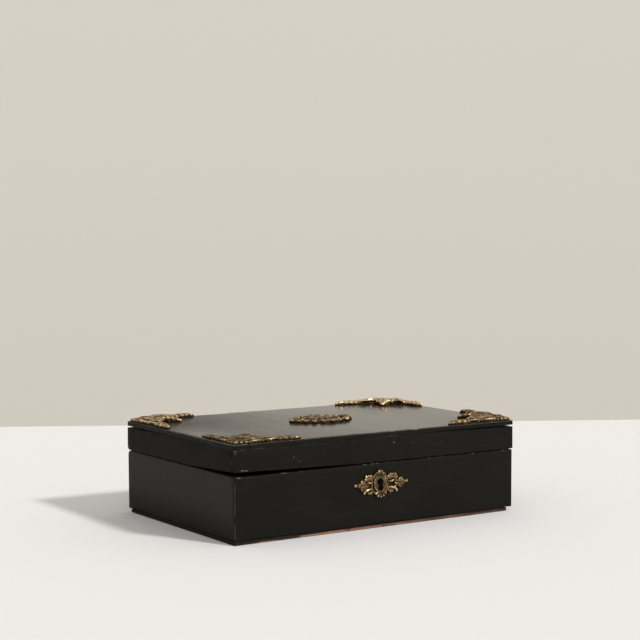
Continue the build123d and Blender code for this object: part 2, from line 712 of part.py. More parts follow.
nodes["link_plate_screws"] = at_lock(link_screw_list())
nodes["hinge_lid_screws"] = leaf_screws(1)

# ---- write the pieces ----------------------------------------------------------------------
os.makedirs("parts", exist_ok=True)
for name, shape in nodes.items():
    solids = shape if isinstance(shape, list) else [shape]
    export_step(Compound(children=[Part() + solid for solid in solids]), f"parts/{name}.step")
print(len(nodes), "pieces written")
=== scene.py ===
"""The finish of a black painted deed box with cast brass mounts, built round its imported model.

The file is laid out as an add-on: sizes and colours are properties, each group of pieces has an
operator, and a panel lists them. Blender's unit is the metre; MM turns millimetres into it.
"""

import json
import math
import random
from contextlib import contextmanager

import bmesh
import bpy
import numpy as np
from bpy.props import FloatProperty, FloatVectorProperty, IntProperty, PointerProperty
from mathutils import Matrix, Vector

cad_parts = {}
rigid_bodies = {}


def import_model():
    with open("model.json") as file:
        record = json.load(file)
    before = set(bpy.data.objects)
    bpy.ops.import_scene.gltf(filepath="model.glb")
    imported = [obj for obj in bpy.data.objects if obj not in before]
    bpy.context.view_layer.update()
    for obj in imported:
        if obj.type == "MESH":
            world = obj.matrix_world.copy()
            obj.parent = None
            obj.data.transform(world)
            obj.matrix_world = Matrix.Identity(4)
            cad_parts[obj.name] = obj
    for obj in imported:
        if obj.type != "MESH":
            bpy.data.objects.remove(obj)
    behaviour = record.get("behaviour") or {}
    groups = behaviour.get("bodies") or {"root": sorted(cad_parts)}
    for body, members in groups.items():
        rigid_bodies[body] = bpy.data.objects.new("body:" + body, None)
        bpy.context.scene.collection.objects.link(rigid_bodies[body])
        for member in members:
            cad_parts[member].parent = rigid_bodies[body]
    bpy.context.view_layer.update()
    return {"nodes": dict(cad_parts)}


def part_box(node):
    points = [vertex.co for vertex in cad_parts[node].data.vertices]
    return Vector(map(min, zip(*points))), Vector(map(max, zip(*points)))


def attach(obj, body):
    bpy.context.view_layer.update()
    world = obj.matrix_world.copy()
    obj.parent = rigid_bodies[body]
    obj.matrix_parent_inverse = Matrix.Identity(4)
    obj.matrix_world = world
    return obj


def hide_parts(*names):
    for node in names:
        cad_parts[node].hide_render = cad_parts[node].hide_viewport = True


bl_info = {
    "name": "Deed box finish",
    "version": (1, 0, 0),
    "blender": (4, 5, 0),
    "location": "View3D > Sidebar > Deed box",
    "description": "Builds the boards, brass mounts and finishes of a deed box round its packed model",
    "category": "Object",
}

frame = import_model()

MM = 0.001
X, Y, Z = 0, 1, 2

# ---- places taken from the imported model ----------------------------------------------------
def box_corner(end, across, along, upward):
    """The low (0) or high (1) corner of a box that takes its X, Y and Z from three nodes."""
    return Vector((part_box(across)[end].x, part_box(along)[end].y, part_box(upward)[end].z))


def middle_of(node, axis):
    """Halfway along a node."""
    return sum(end[axis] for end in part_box(node)) / 2


CASE_LOW = box_corner(0, "case_left_board", "case_front_board", "case_front_board")
CASE_HIGH = box_corner(1, "case_right_board", "case_back_board", "case_back_board")
LID_LOW = box_corner(0, "lid_left_board", "lid_front_board", "lid_back_board")
LID_HIGH = box_corner(1, "lid_right_board", "lid_back_board", "lid_top_board")
TOP_LOW, TOP_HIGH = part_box("lid_top_board")
BOTTOM_LOW, BOTTOM_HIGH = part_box("bottom_board")
PLATE_LOW, PLATE_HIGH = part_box("lock_plate")
CAP_LOW, CAP_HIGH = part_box("lock_cap")
LINK_LOW, LINK_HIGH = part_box("lock_link_plate")
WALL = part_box("case_left_board")[1].x - CASE_LOW.x
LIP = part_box("case_left_board")[0].y - CASE_LOW.y
KEYHOLE_X, KEYHOLE_Z = middle_of("lock_key_pin", X), middle_of("lock_key_pin", Z)
HINGE_Y, HINGE_Z = middle_of("left_hinge_pin", Y), middle_of("left_hinge_pin", Z)

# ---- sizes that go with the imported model, in metres ----------------------------------------
TOUCH = 0.1 * MM  # room round what is let into the wood
KEYHOLE_RADIUS = 3.8 * MM
KEYHOLE_SLOT = 5.0 * MM
KEYHOLE_DROP = 7.7 * MM  # from the middle of its round part to its foot
CASE_RIM_WARP = 0.3 * MM  # at the near corner, down
LID_RIM_WARP = 2.9 * MM  # at the near corner, up
LID_RIM_BOW = 0.5 * MM  # the lid's rim rises by this much more, over a longer run
LID_RIM_BOW_RUN = 250.0 * MM
RIM_WARP_FRONT = 133.6 * MM
RIM_WARP_SIDE = 78.0 * MM
TOP_WARP = 1.8 * MM  # of the lid's frame under the top board, at two corners, down
TOP_WARP_LONG = 115.0 * MM
TOP_WARP_SIDE = 75.0 * MM
SELVEDGE = 1.2 * MM  # thickness of the lock's plate, and of its flange in the rim
LEAF_THICK = 1.0 * MM  # of the hinges
BARREL_ROOM = 1.9 * MM  # radius of the hollow round a hinge's barrel
BEVEL_SLOPE = math.radians(49.5)  # of the rims behind the hinges
HALF_RIM_GAP = 0.3 * MM
NAIL_HEAD = 1.2 * MM
NAIL_LENGTH = 22 * MM
NAIL_SUNK = 0.35 * MM  # how far a head lies below the wood
NAIL_PIT = 0.45 * MM  # depth of the pit over a head
PIN_SEAT = 1.4 * MM  # radius of the seat for a mount's pin
REACH = 30 * MM  # how far a cutter stands out past what it cuts


# ---- properties ----------------------------------------------------------------------------
def length(label, text, default):
    """A setting that is a length."""
    return FloatProperty(name=label, description=text, default=default, unit="LENGTH", precision=5)


def number(label, text, default):
    """A setting that is a plain number."""
    return FloatProperty(name=label, description=text, default=default, precision=3)


def angle(label, text, degrees):
    """A setting that is an angle, with its default in degrees."""
    return FloatProperty(name=label, description=text, default=math.radians(degrees), subtype="ANGLE")


def colour(label, text, default):
    """A setting that is a colour."""
    return FloatVectorProperty(name=label, description=text, default=default, subtype="COLOR", min=0, max=1)


class BoardSettings(bpy.types.PropertyGroup):
    """Sizes of the worn boards."""

    arris: length("Worn arris", "Rounding of the outer edges", 1.15 * MM)
    joint: length("Joint arris", "Rounding of the edges inside a joint", 0.12 * MM)
    margin: length("Margin", "From an edge to the line that keeps the face flat", 6.0 * MM)
    step: length("Step", "Spacing of the cuts along a board", 3.2 * MM)
    ripple: length("Ripple", "How uneven the worn edges are", 0.7 * MM)


class PaintSettings(bpy.types.PropertyGroup):
    """Colours of paint and wood."""

    black: colour("Black", "The paint where it is whole", (0.0054, 0.0055, 0.0042))
    browned: colour("Browned", "The paint where it has thinned", (0.0095, 0.0080, 0.0054))
    # A painted reflection: a grey that lightens the upper part of a board, its foot left darker as painted
    # shade.
    painted_sheen: colour("Faded", "The paint where light has greyed it", (0.032, 0.0275, 0.0235))
    scuffed: colour("Scuffed", "Rubbed edges and scratches", (0.060, 0.055, 0.046))
    pale: colour("Pale", "Filler and dry wood on the worst edges", (0.165, 0.135, 0.092))
    wood: colour("Wood", "Bare wood in chips and joints", (0.085, 0.040, 0.019))
    # Dust, which on the lid's top face also stands in for part of its sheen, as painted sheen.
    dust_and_sheen: colour("Dust", "The film that lies on the lid", (0.17, 0.16, 0.135))
    sheen: number("Side sheen", "Specular level of the sides, which are dull", 0.09)
    polish: number("Wax", "Roughness of the wax on the top", 0.15)


class BrassSettings(bpy.types.PropertyGroup):
    """Sizes and colours of the cast mounts."""

    grain: length("Grain", "Size of the finest facet in a casting", 0.36 * MM)
    bright: colour("Bright", "Rubbed high places", (0.76, 0.57, 0.325))
    mid: colour("Mid", "Between high places and hollows", (0.18, 0.12, 0.060))
    dark: colour("Dark", "Patina in the hollows", (0.028, 0.0195, 0.012))
    reddened: colour("Reddened", "Coppery stain on some of it", (0.26, 0.13, 0.07))


class TrimSettings(bpy.types.PropertyGroup):
    """Colours of the bare wood, the paper, the sheet brass and the iron."""

    fresh: colour("Fresh wood", "Pale bands of the bottom board", (0.37, 0.175, 0.092))
    brown: colour("Brown wood", "Dark bands of the bottom board", (0.21, 0.088, 0.044))
    fibre: colour("Fibre", "Lit fibres of the bottom board", (0.46, 0.27, 0.16))
    # Stains, and also painted contact shade along the foot of the bottom board.
    stain_and_contact_shade: colour("Soil", "Stains on the bottom board", (0.016, 0.011, 0.008))
    paper: colour("Paper", "The linings", (0.50, 0.41, 0.28))
    aged: colour("Aged paper", "Browned parts of the linings", (0.37, 0.28, 0.17))
    foxed: colour("Foxing", "Spots on the linings", (0.16, 0.085, 0.035))
    pulp: colour("Pulp", "Pale flecks in the linings", (0.60, 0.52, 0.39))
    sheet: colour("Sheet brass", "The lock and hinges", (0.34, 0.24, 0.115))
    tarnish: colour("Tarnish", "Brown parts of the lock and hinges", (0.17, 0.11, 0.055))
    # Grime, and also painted shade on the lock round the keyhole.
    grime_and_shade: colour("Grime", "Dirt on the lock, and all of its inside", (0.012, 0.009, 0.006))
    pin: colour("Pins", "Rubbed tops of the brass pins", (0.62, 0.47, 0.26))
    pin_dull: colour("Dull pins", "The rest of the brass pins", (0.22, 0.15, 0.08))
    iron: colour("Iron", "Iron where it is bare", (0.085, 0.080, 0.074))
    rust: colour("Rust", "Skin of the screws and the spring", (0.060, 0.028, 0.014))
    nail_rust: colour("Nail rust", "Skin of the corner nails", (0.016, 0.010, 0.0075))


class StageSettings(bpy.types.PropertyGroup):
    """Camera, lamps, floor and backdrop."""

    place: FloatVectorProperty(
        name="Camera", description="Place of the camera", default=(-0.8721, -1.3005, 0.2868), subtype="XYZ"
    )
    turn: angle("Turn", "Azimuth of the view", -33.82)
    tilt: angle("Tilt", "How far the view looks down", 3.56)
    lens: number("Lens", "Focal length on a 36 mm sensor, in millimetres", 89.64)
    skew: angle("Skew", "How far the end of the table turns from square to the view", 5.2)
    table: length("Table", "From the camera to the end of the table", 2.25)
    gap: length("Gap", "From the end of the table to the backdrop", 1.1)
    lamp: number("Lamp", "Strength of the soft sun", 2.2)
    spread: angle("Spread", "Width of the soft sun, seen from the box", 7)
    towards: FloatVectorProperty(
        name="Sun", description="Where the soft sun stands", default=(0.41, -0.91, 0.74), subtype="DIRECTION"
    )
    sunlight: colour("Sunlight", "Colour of the soft sun", (1.0, 0.985, 0.965))
    sky: number("Sky", "Strength of the even light", 0.60)
    skylight: colour("Skylight", "Colour of the even light", (1.0, 0.985, 0.96))
    floor: colour("Floor", "Colour of the table", (0.83, 0.825, 0.83))
    wall: colour("Wall", "Colour of the backdrop", (0.677, 0.642, 0.575))


class DeedBoxSettings(bpy.types.PropertyGroup):
    """All the settings of the deed box."""

    board: PointerProperty(type=BoardSettings)
    paint: PointerProperty(type=PaintSettings)
    brass: PointerProperty(type=BrassSettings)
    trim: PointerProperty(type=TrimSettings)
    stage: PointerProperty(type=StageSettings)
    seed: IntProperty(name="Seed", description="Start of the random wear", default=7)


# ---- shader maths --------------------------------------------------------------------------
class Socket:
    """A value or colour that a node gives, with Python's operators as Math nodes."""

    def __init__(self, finish, output):
        self.finish = finish
        self.output = output

    def math(self, operation, *others):
        inputs = dict(enumerate((self, *others)))
        return self.finish.node("Math", inputs, operation=operation)

    def __add__(self, other):
        return self.math("ADD", other)

    def __sub__(self, other):
        return self.math("SUBTRACT", other)

    def __mul__(self, other):
        return self.math("MULTIPLY", other)

    def __rsub__(self, other):
        return self.finish.node("Math", {0: other, 1: self}, operation="SUBTRACT")

    __radd__ = __add__
    __rmul__ = __mul__

    def low(self, other):
        """The lower of two values."""
        return self.math("MINIMUM", other)

    def high(self, other):
        """The higher of two values."""
        return self.math("MAXIMUM", other)

    def step(self, start, end):
        """0 below start and 1 above end, with a smooth rise between."""
        inputs = {"Value": self, "From Min": start, "From Max": end}
        return self.finish.node("MapRange", inputs, interpolation_type="SMOOTHSTEP")


class Finish:
    """A material in the making."""

    def __init__(self, name, **constants):
        self.material = bpy.data.materials.new(name)
        self.material.use_nodes = True
        self.tree = self.material.node_tree
        self.shader = self.tree.nodes["Principled BSDF"]
        for socket, value in constants.items():
            self.shader.inputs[socket.replace("_", " ")].default_value = value
        self.place = self.node("TexCoord", output="Object")
        split = self.node("SeparateXYZ", {0: self.place}).output.node
        self.x, self.y, self.z = (Socket(self, split.outputs[axis]) for axis in range(3))

    def node(self, kind, inputs=None, output=0, **settings):
        """Adds a node: its settings first, then its sockets' values or links."""
        made = self.tree.nodes.new("ShaderNode" + kind)
        for setting, value in settings.items():
            setattr(made, setting, value)
        for socket, value in (inputs or {}).items():
            self.feed(made.inputs[socket], value)
        return Socket(self, made.outputs[output])

    def feed(self, socket, value):
        """Links a socket to another, or sets its value."""
        if isinstance(value, Socket):
            self.tree.links.new(value.output, socket)
        elif hasattr(value, "__len__") and len(value) == 3 and socket.type == "RGBA":
            socket.default_value = (*value, 1)
        else:
            socket.default_value = value

    def stretched(self, scales):
        """Object coordinates scaled by axis, so that a pattern runs along the grain."""
        return self.node("VectorMath", {0: self.place, 1: scales}, operation="MULTIPLY")

    def noise(self, size, detail=3, roughness=0.55, stretch=(1, 1, 1), distortion=0.0, shift=0.0):
        """Noise from 0 to 1 whose lumps are about size metres across."""
        vector = self.stretched([1 / (size * factor) for factor in stretch])
        if shift:
            vector = self.node("VectorMath", {0: vector, 1: (shift, -shift, shift / 2)}, operation="ADD")
        inputs = {"Vector": vector, "Scale": 1.0, "Detail": detail, "Roughness": roughness}
        return self.node("TexNoise", {**inputs, "Distortion": distortion})

    def spots(self, size):
        """How far each point is from the middle of its cell, in cells about size metres across."""
        return self.node("TexVoronoi", {"Vector": self.place, "Scale": 1 / size}, output="Distance")

    def mix(self, share, first, second):
        """A colour between two colours."""
        return self.node("Mix", {0: share, 6: first, 7: second}, output=2, data_type="RGBA")

    def dash(self, centre, radius):
        """1 at a place, falling to 0 a radius away, twice as far along X."""
        scales = Vector((0.5, 1, 1.3))
        sockets = {0: self.stretched(scales), 1: centre * scales}
        away = self.node("VectorMath", sockets, output="Value", operation="DISTANCE")
        return 1 - away.step(radius * 0.35, radius)

    def bump(self, height, distance, strength=1.0):
        """A normal from a height between 0 and 1 that stands for distance metres."""
        inputs = {"Height": height, "Distance": distance, "Strength": strength}
        return self.node("Bump", inputs)

    def wire(self, **links):
        """Feeds the shader's sockets and hands the material over."""
        for socket, value in links.items():
            self.feed(self.shader.inputs[socket.replace("_", " ")], value)
        return self.material


# ---- wood finishes -------------------------------------------------------------------------
def dip(finish, corner, runs, depth):
    """How far a warped rim is off, highest at a corner and nothing at the ends of two runs."""
    along = (finish.x - corner[0]) * (1 / runs[0]) + (finish.y - corner[1]) * (1 / runs[1])
    return (1 - along).high(0.0) * depth


def grain_stretch(axis, factor):
    """Stretches a pattern along an axis."""
    return [factor if axis == along else 1 for along in range(3)]


def painted_wood(
    name, low, high, grain, low_dips=(), high_dips=(), chips=(), worn_post=None, waxed=False, painted_sheen=0.0,
    shine=1.0,
):
    """Old black paint on a board: rubbed at its edges, chipped to the wood, brushed along the grain.

    chips are places with a radius; worn_post is the x and y of an upright edge that is rubbed pale;
    the painted sheen share paints the upper part of the board lighter toward a grey, a painted reflection,
    leaving its foot darker as painted shade, and shine scales its sheen.
    """
    paint = bpy.context.scene.deed_box.paint
    finish = Finish(name, Specular_IOR_Level=paint.sheen * shine, Coat_Roughness=paint.polish)
    floor, ceiling = low.z, high.z
    for corner, runs, depth in low_dips:
        floor = dip(finish, corner, runs, depth) + floor
    for corner, runs, depth in high_dips:
        ceiling = ceiling - dip(finish, corner, runs, depth)
    across = (finish.x - low.x).low(high.x - finish.x)
    along = (finish.y - low.y).low(high.y - finish.y)
    upward = (finish.z - floor).low(ceiling - finish.z)
    nearest = across.low(along).low(upward)
    second = across.low(along).high(across.high(along).low(upward))

    coarse = finish.noise(9 * MM, detail=4)
    fine = finish.noise(1.6 * MM, detail=3, shift=3.1)
    broad = finish.noise(55 * MM, detail=2, shift=7.7)
    streaks = finish.noise(0.7 * MM, detail=3, stretch=grain_stretch(grain, 60), shift=1.3)
    swept = finish.noise(2.4 * MM, detail=4, stretch=grain_stretch(grain, 26), distortion=0.2, shift=5.2)
    uneven = (coarse - 0.5) * 1.5 + (fine - 0.5) * 0.8

    edge = 1 - second.step(0.2 * MM, 2.4 * MM)
    rubbed = (edge * 0.58 + uneven + (broad - 0.5) * 0.9).step(0.66, 0.98)
    bare = (nearest + (fine - 0.5) * (0.5 * MM) + (coarse - 0.5) * (0.35 * MM)).step(0.42 * MM, 0.60 * MM)
    chipped = bare * fine.step(0.55, 0.70)
    for centre, radius in chips:
        chipped = chipped.high((finish.dash(centre, radius * 0.8) + uneven).step(0.80, 0.92))
    dusted = (1 - finish.spots(13 * MM).step(0.03, 0.07)) * coarse.step(0.54, 0.60)

    base = finish.mix((broad * 0.6 + swept * 0.6).step(0.45, 0.85), paint.black, paint.browned)
    # Painted reflection: the board is painted lighter toward grey above its foot, which stays darker as
    # painted shade.
    if painted_sheen:
        base = finish.mix(finish.z.step(low.z - 8 * MM, low.z + 34 * MM) * painted_sheen, base, paint.painted_sheen)
    base = finish.mix(streaks.step(0.62, 0.85) * 0.16, base, paint.scuffed)
    base = finish.mix(rubbed * 0.6, base, paint.scuffed)
    base = finish.mix(bare * 0.9, base, finish.mix(fine.step(0.40, 0.60), paint.wood, paint.scuffed))
    base = finish.mix(chipped * 0.75, base, finish.mix(coarse.step(0.36, 0.48), paint.wood, paint.pale))
    base = finish.mix(dusted * 0.45, base, paint.dust_and_sheen)
    if worn_post:
        aside = (finish.x - worn_post[0]).math("ABSOLUTE").high((finish.y - worn_post[1]).math("ABSOLUTE"))
        broken = finish.noise(2.2 * MM, detail=3, stretch=grain_stretch(Z, 5), shift=4.6).step(0.34, 0.60)
        shade = finish.mix(fine.step(0.42, 0.62), paint.wood, paint.pale)
        base = finish.mix((1 - aside.step(0.35 * MM, 0.95 * MM)) * broken * 0.75, base, shade)
    rough = 0.46 + swept * 0.10 + streaks * 0.08 + rubbed * 0.12 + bare * 0.25
    links = {}
    if waxed:
        film = (broad * 0.6 + streaks * 0.25 + swept * 0.25).step(0.35, 0.80)
        upper = finish.z.step(high.z - 1.3 * MM, high.z - 0.7 * MM)
        rightward = (finish.x + (swept - 0.5) * (60 * MM)).step(low.x, low.x + (high.x - low.x) * 0.66)
        # Partly dust, partly painted sheen: the top face is painted a little lighter toward the dust colour.
        base = finish.mix(film * upper * 0.14, base, paint.dust_and_sheen)
        forward = 1 - (finish.y + (swept - 0.5) * (40 * MM)).step(-60 * MM, 60 * MM)
        beside = 1 - finish.x.step(low.x + 8 * MM, low.x + 50 * MM)
        nearer = forward * ((1 - rightward) * 0.30 + beside * 0.30)
        links["Coat_Weight"] = upper * (0.20 + rightward * 0.62 + nearer - streaks.step(0.5, 0.8) * 0.18)
    height = streaks * 0.45 + swept * 0.35 + fine * 0.2 - bare * 0.8 - chipped * 0.4
    return finish.wire(
        Base_Color=base, Roughness=rough, Normal=finish.bump(height, 0.16 * MM, strength=0.5), **links
    )


def raw_wood(name):
    """The bottom board: bare and reddish, with dark stains, painted contact shade along its foot, and the
    paint's overlap at its edges.
    """
    trim = bpy.context.scene.deed_box.trim
    finish = Finish(name, Specular_IOR_Level=0.2)
    streaks = finish.noise(0.6 * MM, detail=4, stretch=grain_stretch(X, 40))
    bands = finish.noise(2.5 * MM, detail=3, stretch=grain_stretch(X, 16), distortion=0.6, shift=2.2)
    stains = finish.noise(11 * MM, detail=5, stretch=grain_stretch(X, 3), shift=4.4).step(0.52, 0.60)
    base = finish.mix(bands.step(0.35, 0.65), trim.fresh, trim.brown)
    base = finish.mix(streaks.step(0.5, 0.75) * 0.5, base, trim.fibre)
    overlap = 1.2 * MM + (1 - finish.x.step(BOTTOM_LOW.x, BOTTOM_LOW.x + 120 * MM)) * (1.3 * MM)
    level = finish.z + (bands - 0.5) * (1.6 * MM) + overlap
    seam = level.step(BOTTOM_HIGH.z - 0.3 * MM, BOTTOM_HIGH.z + 0.3 * MM)
    side = 1 - finish.x.step(BOTTOM_LOW.x + 0.4 * MM, BOTTOM_LOW.x + 2 * MM)
    # Painted contact shade: the board's foot, where it meets the table, is painted dark.
    foot = 1 - finish.z.step(0.3 * MM, 0.9 * MM)
    cornered = 1 - finish.x.step(BOTTOM_LOW.x + 12 * MM, BOTTOM_LOW.x + 30 * MM)
    soiled = finish.x.step(0.0, 60 * MM).high(cornered) * (bands * 0.8 + 0.42)
    base = finish.mix(stains.high(soiled).high(foot * 0.8) * 0.92, base, trim.stain_and_contact_shade)
    base = finish.mix(seam.high(side), base, bpy.context.scene.deed_box.paint.black)
    height = streaks * 0.6 + bands * 0.4
    return finish.wire(
        Base_Color=base, Roughness=0.66 + streaks * 0.2, Normal=finish.bump(height, 0.25 * MM)
    )


def lining_paper(name):
    """Foxed and creased laid paper."""
    trim = bpy.context.scene.deed_box.trim
    finish = Finish(name, Specular_IOR_Level=0.25)
    cloud = finish.noise(45 * MM, detail=4)
    pulp = finish.noise(0.7 * MM, detail=3, shift=1.9)
    foxing = (1 - finish.spots(13 * MM).step(0.05, 0.26)) * cloud.step(0.48, 0.62)
    base = finish.mix(cloud.step(0.3, 0.75), trim.paper, trim.aged)
    base = finish.mix(foxing * 0.7, base, trim.foxed)
    base = finish.mix(pulp.step(0.5, 0.8) * 0.25, base, trim.pulp)
    creases = finish.noise(18 * MM, detail=2, distortion=1.2, shift=6.1)
    height = pulp * 0.25 + creases * 0.75
    return finish.wire(
        Base_Color=base, Roughness=0.80 + pulp * 0.12, Normal=finish.bump(height, 0.5 * MM, strength=0.6)
    )


# ---- metal finishes ------------------------------------------------------------------------
def cast_brass(name, painted_light_shift=0.0):
    """Cast brass, dark in its hollows and rubbed bright where it stands out, with the whole copy painted
    darker (painted shade) or lighter (painted highlight) for how it is lit.
    """
    brass = bpy.context.scene.deed_box.brass
    finish = Finish(name, Metallic=1.0)
    relief = finish.node("Attribute", output="Fac", attribute_name="relief")
    coarse = finish.noise(6 * MM, detail=4)
    fine = finish.noise(0.9 * MM, detail=3, shift=2.9)
    # The light shift darkens (painted shade) or lightens (painted highlight) the whole copy.
    raised = relief + (coarse - 0.5) * 0.7 + (fine - 0.5) * 0.22 - painted_light_shift
    base = finish.mix(raised.step(0.31, 0.63), brass.dark, brass.mid)
    base = finish.mix(raised.step(0.68, 1.04), base, brass.bright)
    red = finish.noise(8 * MM, detail=3, shift=8.3).step(0.52, 0.75)
    base = finish.mix(red * 0.4, base, brass.reddened)
    rough = 0.62 - raised.step(0.45, 0.95) * 0.34 + (fine - 0.5) * 0.14
    height = fine * 0.6 + coarse * 0.4
    return finish.wire(
        Base_Color=base, Roughness=rough, Normal=finish.bump(height, 0.16 * MM, strength=0.8)
    )


def pin_brass(name):
    """Small round-headed brass pins, dull with a rubbed top."""
    trim = bpy.context.scene.deed_box.trim
    finish = Finish(name, Metallic=1.0)
    cloud = finish.noise(1.2 * MM, detail=3)
    base = finish.mix(cloud.step(0.35, 0.65), trim.pin, trim.pin_dull)
    return finish.wire(Base_Color=base, Roughness=0.28 + cloud * 0.25, Normal=finish.bump(cloud, 0.08 * MM))


def sheet_brass(name):
    """Filed sheet brass of the lock and hinges, long untouched and brown; round the keyhole the lock is
    painted dark and dull, as painted shade inside it.
    """
    trim = bpy.context.scene.deed_box.trim
    finish = Finish(name, Metallic=1.0)
    filed = finish.noise(0.25 * MM, detail=3, stretch=grain_stretch(X, 30))
    cloud = finish.noise(7 * MM, detail=4, shift=3.3)
    fine = finish.noise(0.9 * MM, detail=3, shift=1.1)
    base = finish.mix(cloud.step(0.35, 0.7), trim.sheet, trim.tarnish)
    # Painted shade: round the keyhole, from the plate's back forward, the lock is painted dark, dull and not
    # metallic.
    aside = (finish.x - KEYHOLE_X).math("ABSOLUTE").high((finish.z - KEYHOLE_Z).math("ABSOLUTE"))
    inside = (1 - aside.step(9 * MM, 11 * MM)) * (1 - finish.y.step(PLATE_HIGH.y - 0.6 * MM, PLATE_HIGH.y))
    grime_and_shade = ((cloud + (fine - 0.5) * 0.5).step(0.58, 0.76) * 0.8).high(inside)
    base = finish.mix(grime_and_shade, base, trim.grime_and_shade)
    height = filed * 0.7 + fine * 0.3
    return finish.wire(
        Base_Color=base,
        Metallic=1 - inside,
        Roughness=0.34 + cloud * 0.24 + filed * 0.08 + inside * 0.3,
        Normal=finish.bump(height, 0.06 * MM),
    )


def old_iron(name, rust, skin):
    """Iron under a skin of a colour: rust is how far it has gone."""
    finish = Finish(name)
    cloud = finish.noise(2.2 * MM, detail=4)
    fine = finish.noise(0.5 * MM, detail=3, shift=1.7)
    eaten = (cloud + (fine - 0.5) * 0.5).step(0.62 - 0.3 * rust, 0.80 - 0.3 * rust)
    base = finish.mix(eaten, bpy.context.scene.deed_box.trim.iron, skin)
    return finish.wire(
        Base_Color=base,
        Metallic=1 - eaten,
        Roughness=0.40 + eaten * 0.40 + (fine - 0.5) * 0.15,
        Normal=finish.bump(fine * 0.5 + cloud * 0.5, 0.12 * MM),
    )


# ---- bench work ----------------------------------------------------------------------------
def deselect():
    """Leaves edit mode and lets go of everything: the frame's nodes are selected when they load."""
    if bpy.context.mode != "OBJECT":
        bpy.ops.object.mode_set(mode="OBJECT")
    bpy.ops.object.select_all(action="DESELECT")


def hold(*pieces):
    """Selects only these pieces, the first as the active one."""
    deselect()
    for piece in pieces:
        piece.select_set(True)
    bpy.context.view_layer.objects.active = pieces[0]
    return pieces[0]


def settle(piece):
    """Puts a piece's place, turn and size into its mesh."""
    hold(piece)
    bpy.ops.object.transform_apply(location=True, rotation=True, scale=True)
    return piece


@contextmanager
def editing(piece):
    """Edit mode on one piece."""
    hold(piece)
    bpy.ops.object.mode_set(mode="EDIT")
    yield
    bpy.ops.object.mode_set(mode="OBJECT")


def pick(piece, kind, test):
    """In edit mode, selects only the vertices, edges or faces that pass the test."""
    bpy.ops.mesh.select_mode(type=kind)
    bpy.ops.mesh.select_all(action="DESELECT")
    mesh = bmesh.from_edit_mesh(piece.data)
    for part in {"VERT": mesh.verts, "EDGE": mesh.edges, "FACE": mesh.faces}[kind]:
        if not part.hide and test(part):
            part.select_set(True)
    mesh.select_flush_mode()
    bmesh.update_edit_mesh(piece.data)


def middle(part):
    """The middle of an edge or face."""
    return sum((vertex.co for vertex in part.verts), Vector()) / len(part.verts)


def modify(piece, kind, **settings):
    """Adds a modifier with its settings and applies it."""
    hold(piece)
    modifier = piece.modifiers.new(kind.title(), kind)
    for setting, value in settings.items():
        setattr(modifier, setting, value)
    bpy.ops.object.modifier_apply(modifier=modifier.name)


def block(name, low, high):
    """A cube primitive stretched between two corners."""
    low, high = Vector(low), Vector(high)
    deselect()
    bpy.ops.mesh.primitive_cube_add(size=1, location=(low + high) / 2)
    piece = bpy.context.object
    piece.name = name
    bpy.ops.transform.resize(value=high - low)
    return settle(piece)


def peg(name, start, end, radius, sides=32):
    """A cylinder primitive from one point to another."""
    start, end = Vector(start), Vector(end)
    turn = (end - start).to_track_quat("Z", "Y").to_euler()
    deselect()
    bpy.ops.mesh.primitive_cylinder_add(
        vertices=sides, radius=radius, depth=(end - start).length, location=(start + end) / 2, rotation=turn
    )
    piece = bpy.context.object
    piece.name = name
    return settle(piece)


def copied(piece):
    """A copy of a piece with its own mesh."""
    hold(piece)
    bpy.ops.object.duplicate()
    return bpy.context.object


def join(name, pieces):
    """Joins pieces into one."""
    whole = hold(*pieces)
    if len(pieces) > 1:
        bpy.ops.object.join()
    whole.name = name
    return whole


def carve(piece, cutters):
    """Takes each cutter out of a piece, and the cutters away."""
    for cutter in cutters:
        modify(piece, "BOOLEAN", object=cutter, operation="DIFFERENCE", solver="MANIFOLD")
    hold(*cutters)
    bpy.ops.object.delete()


def rippled(piece, group, size, strength, level=0.5, name="ripple"):
    """Moves a piece's surface in and out by clouds of a size, all of it or a vertex group."""
    texture = bpy.data.textures.new(name, type="CLOUDS")
    texture.noise_scale = size
    texture.noise_depth = 2
    settings = {"texture": texture, "texture_coords": "LOCAL", "strength": strength, "mid_level": level}
    if group:
        settings["vertex_group"] = group
    modify(piece, "DISPLACE", **settings)


def finished(piece, body, slot, material, *nodes):
    """Gives a piece its material, hangs it on a body and hides the nodes it stands in for."""
    piece.data.materials.clear()
    piece.data.materials.append(material)
    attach(piece, body)
    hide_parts(*nodes)


# ---- boards --------------------------------------------------------------------------------
def is_arris(edge, worn):
    """An edge where two faces of a board meet squarely, if worn says so of its middle."""
    square = len(edge.link_faces) == 2 and edge.calc_face_angle(0) > math.radians(60)
    return square and worn(middle(edge))


def near(value, target):
    """Whether two places are the same within a hundredth of a millimetre."""
    return abs(value - target) < 0.01 * MM


